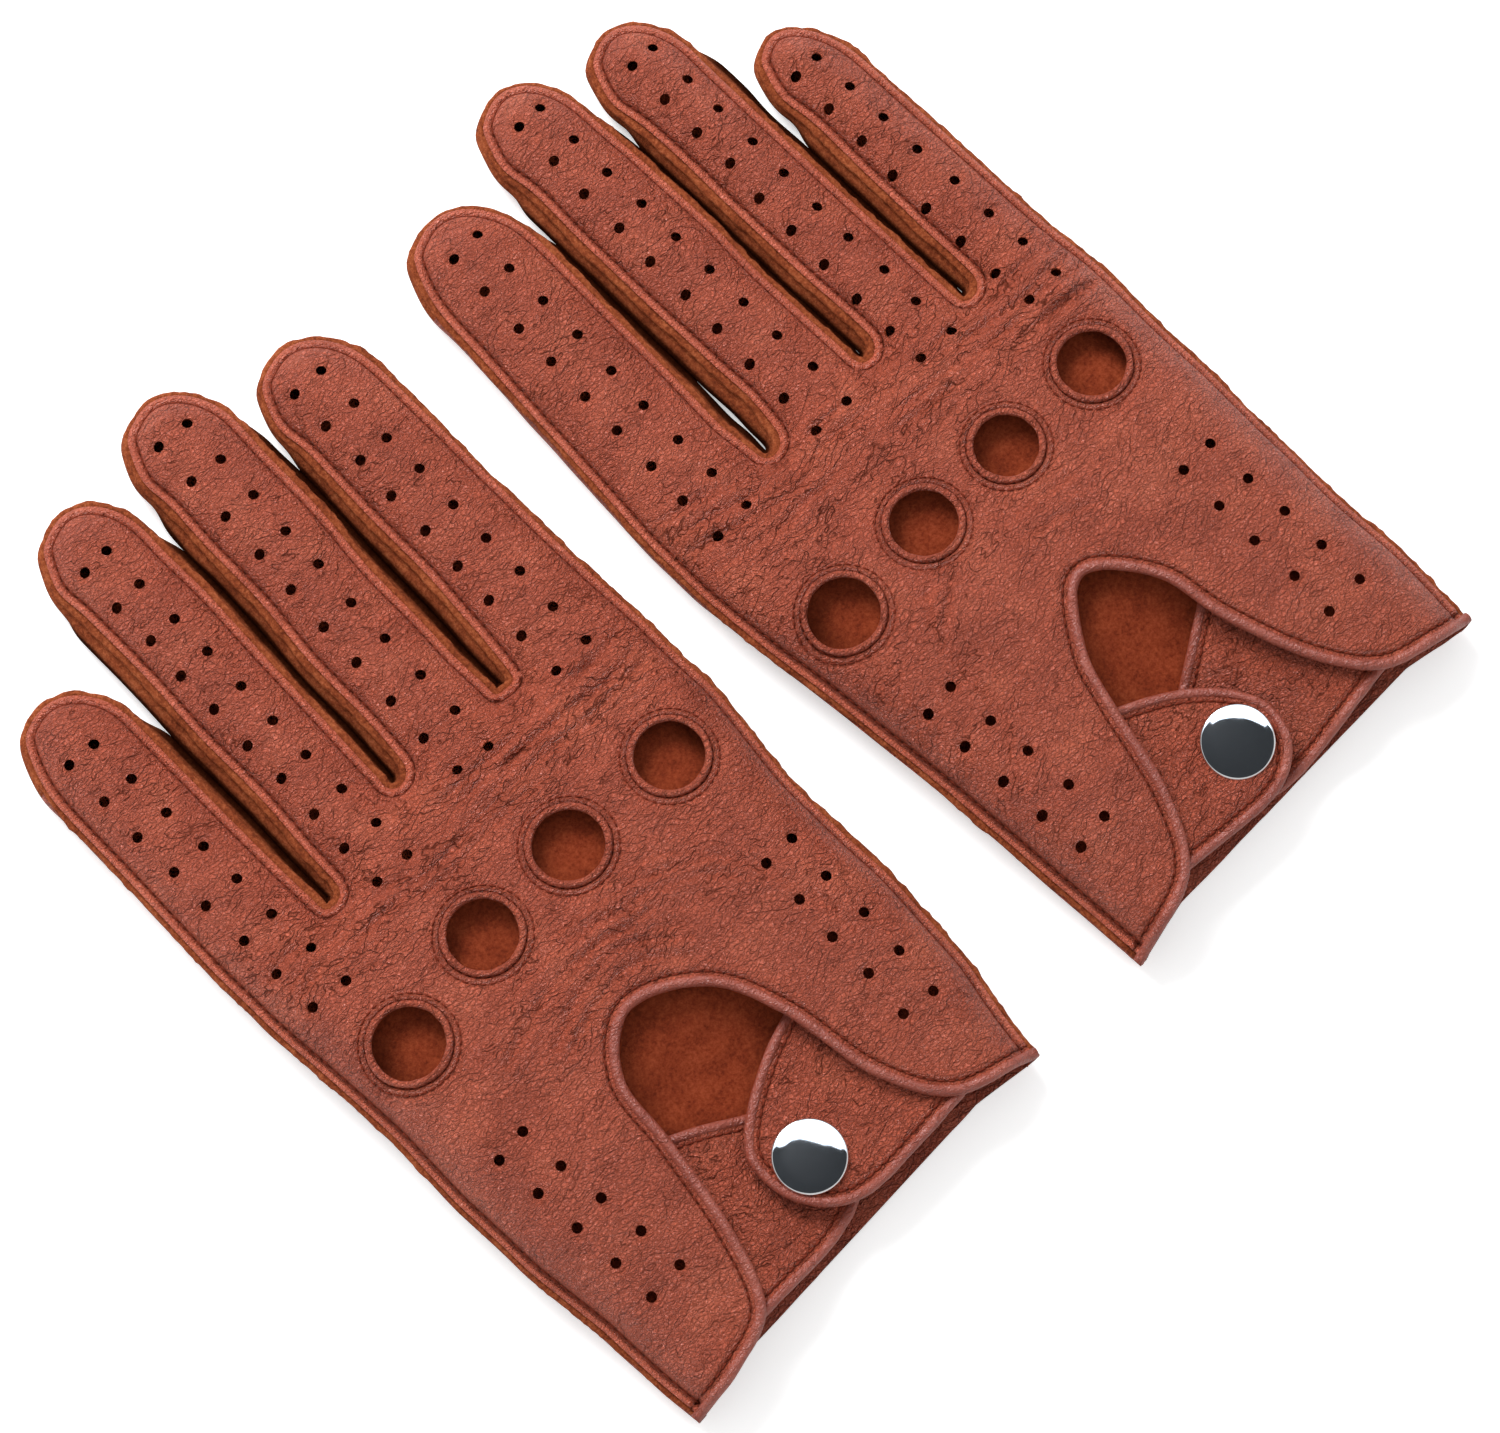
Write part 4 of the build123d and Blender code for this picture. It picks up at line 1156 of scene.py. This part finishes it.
def build_tab(glove, name, root_z, end_z, nodes):
    """Leather, piping and thread of one tab."""
    tab = Tab(glove, name, root_z, end_z)
    rings = [(tab.path + tab.inset * inset, 0.35) for inset in (1.8, 2.5, 3.2)]
    xy, faces = plan_mesh(tab.outline, [], [], rings, 1.0, 8)
    leather = shell(np.column_stack([xy, tab.height(xy)]), faces, 1.5)
    # painted shade in the tab's stitched groove, for the leather material
    groove = bell(nearest(xy, tab.path), 2.5, 0.36)
    pieces = [make_piece(f"{glove.name}_{name}_leather", glove, leather[0], leather[1], [TAB_MAT, INNER_MAT],
                         leather[2], leather[3], {"groove": np.tile(groove, 2)})]
    cords = [("piping", tube(tab.inner_line(0.75, -0.55), 1.02, 12, wobble=0.12, seed=4), PIPING_MAT),
             ("stitches", stitches(tab.inner_line(2.5, 0.16), 1.45, 0.6, 0.25), THREAD_MAT)]
    pieces += [make_piece(f"{glove.name}_{name}_{suffix}", glove, *cord, [material])
               for suffix, cord, material in cords]
    start, end = (glove.to_row([*(tab.middle + reach * tab.inward), 11.2]) for reach in (-3.0, 3.0))
    for obj, slot, replaced in zip(pieces, ("leather", "piping", "leather"), (nodes, (), ())):
        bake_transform(obj)
        finish_piece([f"{glove.name}_{node}" for node in replaced])


CAP_RADIUS = 7.5
CAP_SIDES = 96
CAP_BASE_Z = 12.15
# section of the cap: flat skirt, small rolled lip, shallow dome
CAP_SECTION = [(CAP_RADIUS - 0.35, 0.0), (CAP_RADIUS - 0.05, 0.12), (CAP_RADIUS, 0.45),
               (CAP_RADIUS - 0.1, 0.8), (CAP_RADIUS - 0.45, 1.0), (CAP_RADIUS - 0.8, 1.05),
               (CAP_RADIUS * 0.8, 1.32), (CAP_RADIUS * 0.6, 1.55), (CAP_RADIUS * 0.4, 1.71),
               (CAP_RADIUS * 0.2, 1.80), (0.02, 1.83)]


def snap_cap(glove):
    """Polished snap cap, tilted a little with the tab under it."""
    tilt_x, tilt_y = glove.data["cap_tilt"]
    points = np.vstack([np.column_stack([ring_points(0, 0, r, CAP_SIDES), np.full(CAP_SIDES, z)])
                        for r, z in CAP_SECTION])
    for k, tilt in enumerate((tilt_x, tilt_y)):
        points[:, 2] += points[:, k] * math.sin(math.radians(tilt))
    points += (*glove.data["snap"], CAP_BASE_Z + 0.06 * abs(tilt_x))
    obj = make_piece(f"{glove.name}_snap_cap_chrome", glove, points, ring_faces(len(CAP_SECTION), CAP_SIDES),
                     [CHROME_MAT])
    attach(obj, f"{glove.name}_snap_tab")
    finish_piece([f"{glove.name}_snap_cap"])


THUMB_Z = 2.75
THUMB_HALF_HEIGHT = 2.6
THUMB_TAPER_Y = 34
THUMB_TIP = 17.8


def thumb_half_width(y):
    if y < THUMB_TAPER_Y:
        base = math.sqrt(max(1 - (max(6 - y, 0) / 8.6)**2, 0.01))
        return (12.8 - 2.1 * max(y, 0) / THUMB_TAPER_Y) * base
    return 10.7 * math.sqrt(max(1 - ((y - THUMB_TAPER_Y) / THUMB_TIP)**2, 0.0004))


def build_thumb(glove):
    """Thumb tube folded flat under the palm."""
    base_x, base_y, turn = glove.data["thumb"]
    along = np.array([-math.sin(math.radians(turn)), math.cos(math.radians(turn))])
    across = np.array([along[1], -along[0]])
    base = np.array([base_x, base_y])

    def placed(x, y, z):
        return (*(base + x * across + y * along), z)

    sides, rows = 40, 46
    points = []
    for y in np.linspace(-2.0, 51.5, rows):
        half = thumb_half_width(y)
        height = THUMB_HALF_HEIGHT * min(1.0, 0.3 + half / 11)
        for k in range(sides):
            t = 2 * math.pi * k / sides
            ridge = 1.0 + 0.09 * bell(math.sin(t), 0, 0.16)
            x = half * math.copysign(abs(math.cos(t))**0.85, math.cos(t)) * ridge
            points.append(placed(x, y, THUMB_Z + height * math.copysign(abs(math.sin(t))**0.6, math.sin(t))))
    skin = ring_faces(rows, sides)
    pieces = [make_piece(f"{glove.name}_thumb_leather", glove, points, skin, [LEATHER_MAT])]
    # its outseam: a suede edge round both sides and the tip, and the stitches inside it
    edge, line = [], []
    for y in np.linspace(8, 51.4, 54):
        half = thumb_half_width(y)
        edge.append((half * 1.07, y, THUMB_Z))
        inset = max(half - 2.4, 0.0)
        depth = math.sqrt(max(1 - (inset / half)**2.35, 0))**0.6 * min(1.0, 0.3 + half / 11)
        line_y = y - 2.4 * max(y - THUMB_TAPER_Y, 0) / THUMB_TIP
        line.append((inset, line_y, THUMB_Z - THUMB_HALF_HEIGHT * depth))
    edge, line = ([placed(*p) for p in half] + [placed(-x, y, z) for x, y, z in reversed(half)]
                  for half in (edge, line))
    edge = tube(even(np.array(edge), 1.0), 0.75, 8, wobble=0.4)
    pieces.append(make_piece(f"{glove.name}_thumb_edge", glove, *edge, [SUEDE_MAT]))
    pieces.append(make_piece(f"{glove.name}_thumb_stitches", glove, *stitches(line, *SEAM_STITCH, -1.0),
                             [THREAD_MAT]))
    start, end = (glove.to_row([*(base + reach * along), 3.0]) for reach in (-4, 8))
    nodes = [f"{glove.name}_thumb_front", f"{glove.name}_thumb_back"]
    for obj, slot, replaced in zip(pieces, ("leather", "suede", "leather"), (nodes, (), ())):
        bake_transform(obj)
        finish_piece(replaced)


def build_glove(name):
    glove = Glove(name)
    rng = np.random.default_rng(5 if glove.side > 0 else 9)
    back_panel(glove, rng)
    seam_edge(glove, rng)
    side_walls(glove)
    palm_panel(glove)
    seam_stitching(glove)
    opening_trim(glove)
    build_tab(glove, "snap_tab", 12.3, 12.1, ("snap_tab", "tab_roots"))
    build_tab(glove, "stud_tab", 11.6, 7.9, ("stud_tab",))
    snap_cap(glove)
    build_thumb(glove)


for glove_name in GLOVES:
    build_glove(glove_name)
for node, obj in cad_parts.items():
    if node.endswith(("snap_socket", "snap_stud", "snap_post")):
        obj.data.materials.clear()
        obj.data.materials.append(STEEL_MAT)


# ---------------------------------------------------------------- studio

ROOM_LIGHT = 0.62
FLOOR_SIZE = 12.0
FLOOR_Z = -0.0002
FLOOR_GLOW = 0.44
KEY_SIZE = 0.7
KEY_POWER = 15.5
CARD_HEIGHT = 1.3
CAMERA_ELEVATION = math.radians(76.0)
CAMERA_AWAY = 0.9
VIEW_WIDTH = 0.29925
SENSOR = 36.0
# direction the camera looks in, seen from above, and the place it looks at
LOOK = np.array([0.7025, 0.7117])
AIM = np.array([-1.7, -19.2, 0.0]) * MM


def put(name, data, place=None, aim=None):
    """Link an object into the scene, and where a place is given aim it from there."""
    obj = bpy.data.objects.new(name, data)
    bpy.context.scene.collection.objects.link(obj)
    if place is not None:
        obj.location = place
        obj.rotation_euler = (Vector(aim) - Vector(place)).to_track_quat("-Z", "Y").to_euler()
    return obj


def sheet(name, corners, paint, colour, glow):
    """Flat sheet of scenery in a plain paint."""
    mesh = bpy.data.meshes.new(name)
    mesh.from_pydata(corners, [], [tuple(range(len(corners)))])
    material = bpy.data.materials.new(paint)
    material.use_nodes = True
    shader = material.node_tree.nodes["Principled BSDF"]
    shader.inputs["Base Color"].default_value = (*colour, 1)
    shader.inputs["Emission Color"].default_value = (1, 1, 1, 1)
    shader.inputs["Emission Strength"].default_value = glow
    mesh.materials.append(material)
    return put(name, mesh), material.node_tree, shader


def build_room():
    """White room, and a pale floor that looks a little brighter to the camera than it lights the gloves."""
    world = bpy.data.worlds.new("white_room")
    world.use_nodes = True
    background = world.node_tree.nodes["Background"]
    background.inputs["Color"].default_value = (1, 1, 1, 1)
    background.inputs["Strength"].default_value = ROOM_LIGHT
    bpy.context.scene.world = world
    corners = [(x * FLOOR_SIZE, y * FLOOR_SIZE, FLOOR_Z) for x, y in ((-1, -1), (1, -1), (1, 1), (-1, 1))]
    floor, tree, shader = sheet("floor", corners, "pale_floor", (0.97, 0.97, 0.97), 0.0)
    shader.inputs["Roughness"].default_value = 0.9
    shader.inputs["Specular IOR Level"].default_value = 0.1
    seen = add_node(tree, "LightPath", "Is Camera Ray")
    feed(tree, shader.inputs["Emission Strength"], seen * FLOOR_GLOW)


def build_camera():
    place = AIM + CAMERA_AWAY * np.array([*(-LOOK * math.cos(CAMERA_ELEVATION)), math.sin(CAMERA_ELEVATION)])
    camera = bpy.data.cameras.new("camera")
    camera.sensor_width = SENSOR
    camera.lens = SENSOR * CAMERA_AWAY / VIEW_WIDTH
    camera.clip_start = 0.01
    bpy.context.scene.camera = put("camera", camera, place, AIM)


def seen_from_camera(across, ahead, height):
    """Place so far to the right and ahead of the gloves as the camera sees them, in metres."""
    right = np.array([LOOK[1], -LOOK[0]])
    return (*(right * across + LOOK * ahead), height)


def build_cards():
    """Cards that only mirrors see: they put the slate and white shapes on the polished caps."""
    meeting = [(-1.8, 0.44), (-0.45, 0.30), (-0.10, 0.34), (0.25, 0.24), (1.8, 0.34)]
    dark_card = [(1.8, -1.5), (-1.8, -1.5)] + meeting
    white_card = [(1.8, 1.9), (-1.8, 1.9)] + [(across, ahead + 0.01) for across, ahead in meeting]
    cards = (("dark_card", dark_card, 0.012, 0.0), ("white_card", white_card, 0.8, 0.9))
    for name, outline, tone, glow in cards:
        corners = [seen_from_camera(across, ahead, CARD_HEIGHT) for across, ahead in outline]
        card = sheet(name, corners, name, (tone, tone * 1.4, tone * 1.9), glow)[0]
        card.visible_camera = False
        card.visible_diffuse = False
        card.visible_shadow = False


build_room()
build_camera()
key = bpy.data.lights.new("key", "AREA")
key.size = KEY_SIZE
key.energy = KEY_POWER
put("key", key, seen_from_camera(-0.55, 0.75, 0.85), (0, 0, 0))
bpy.context.scene.view_settings.view_transform = "Standard"
build_cards()
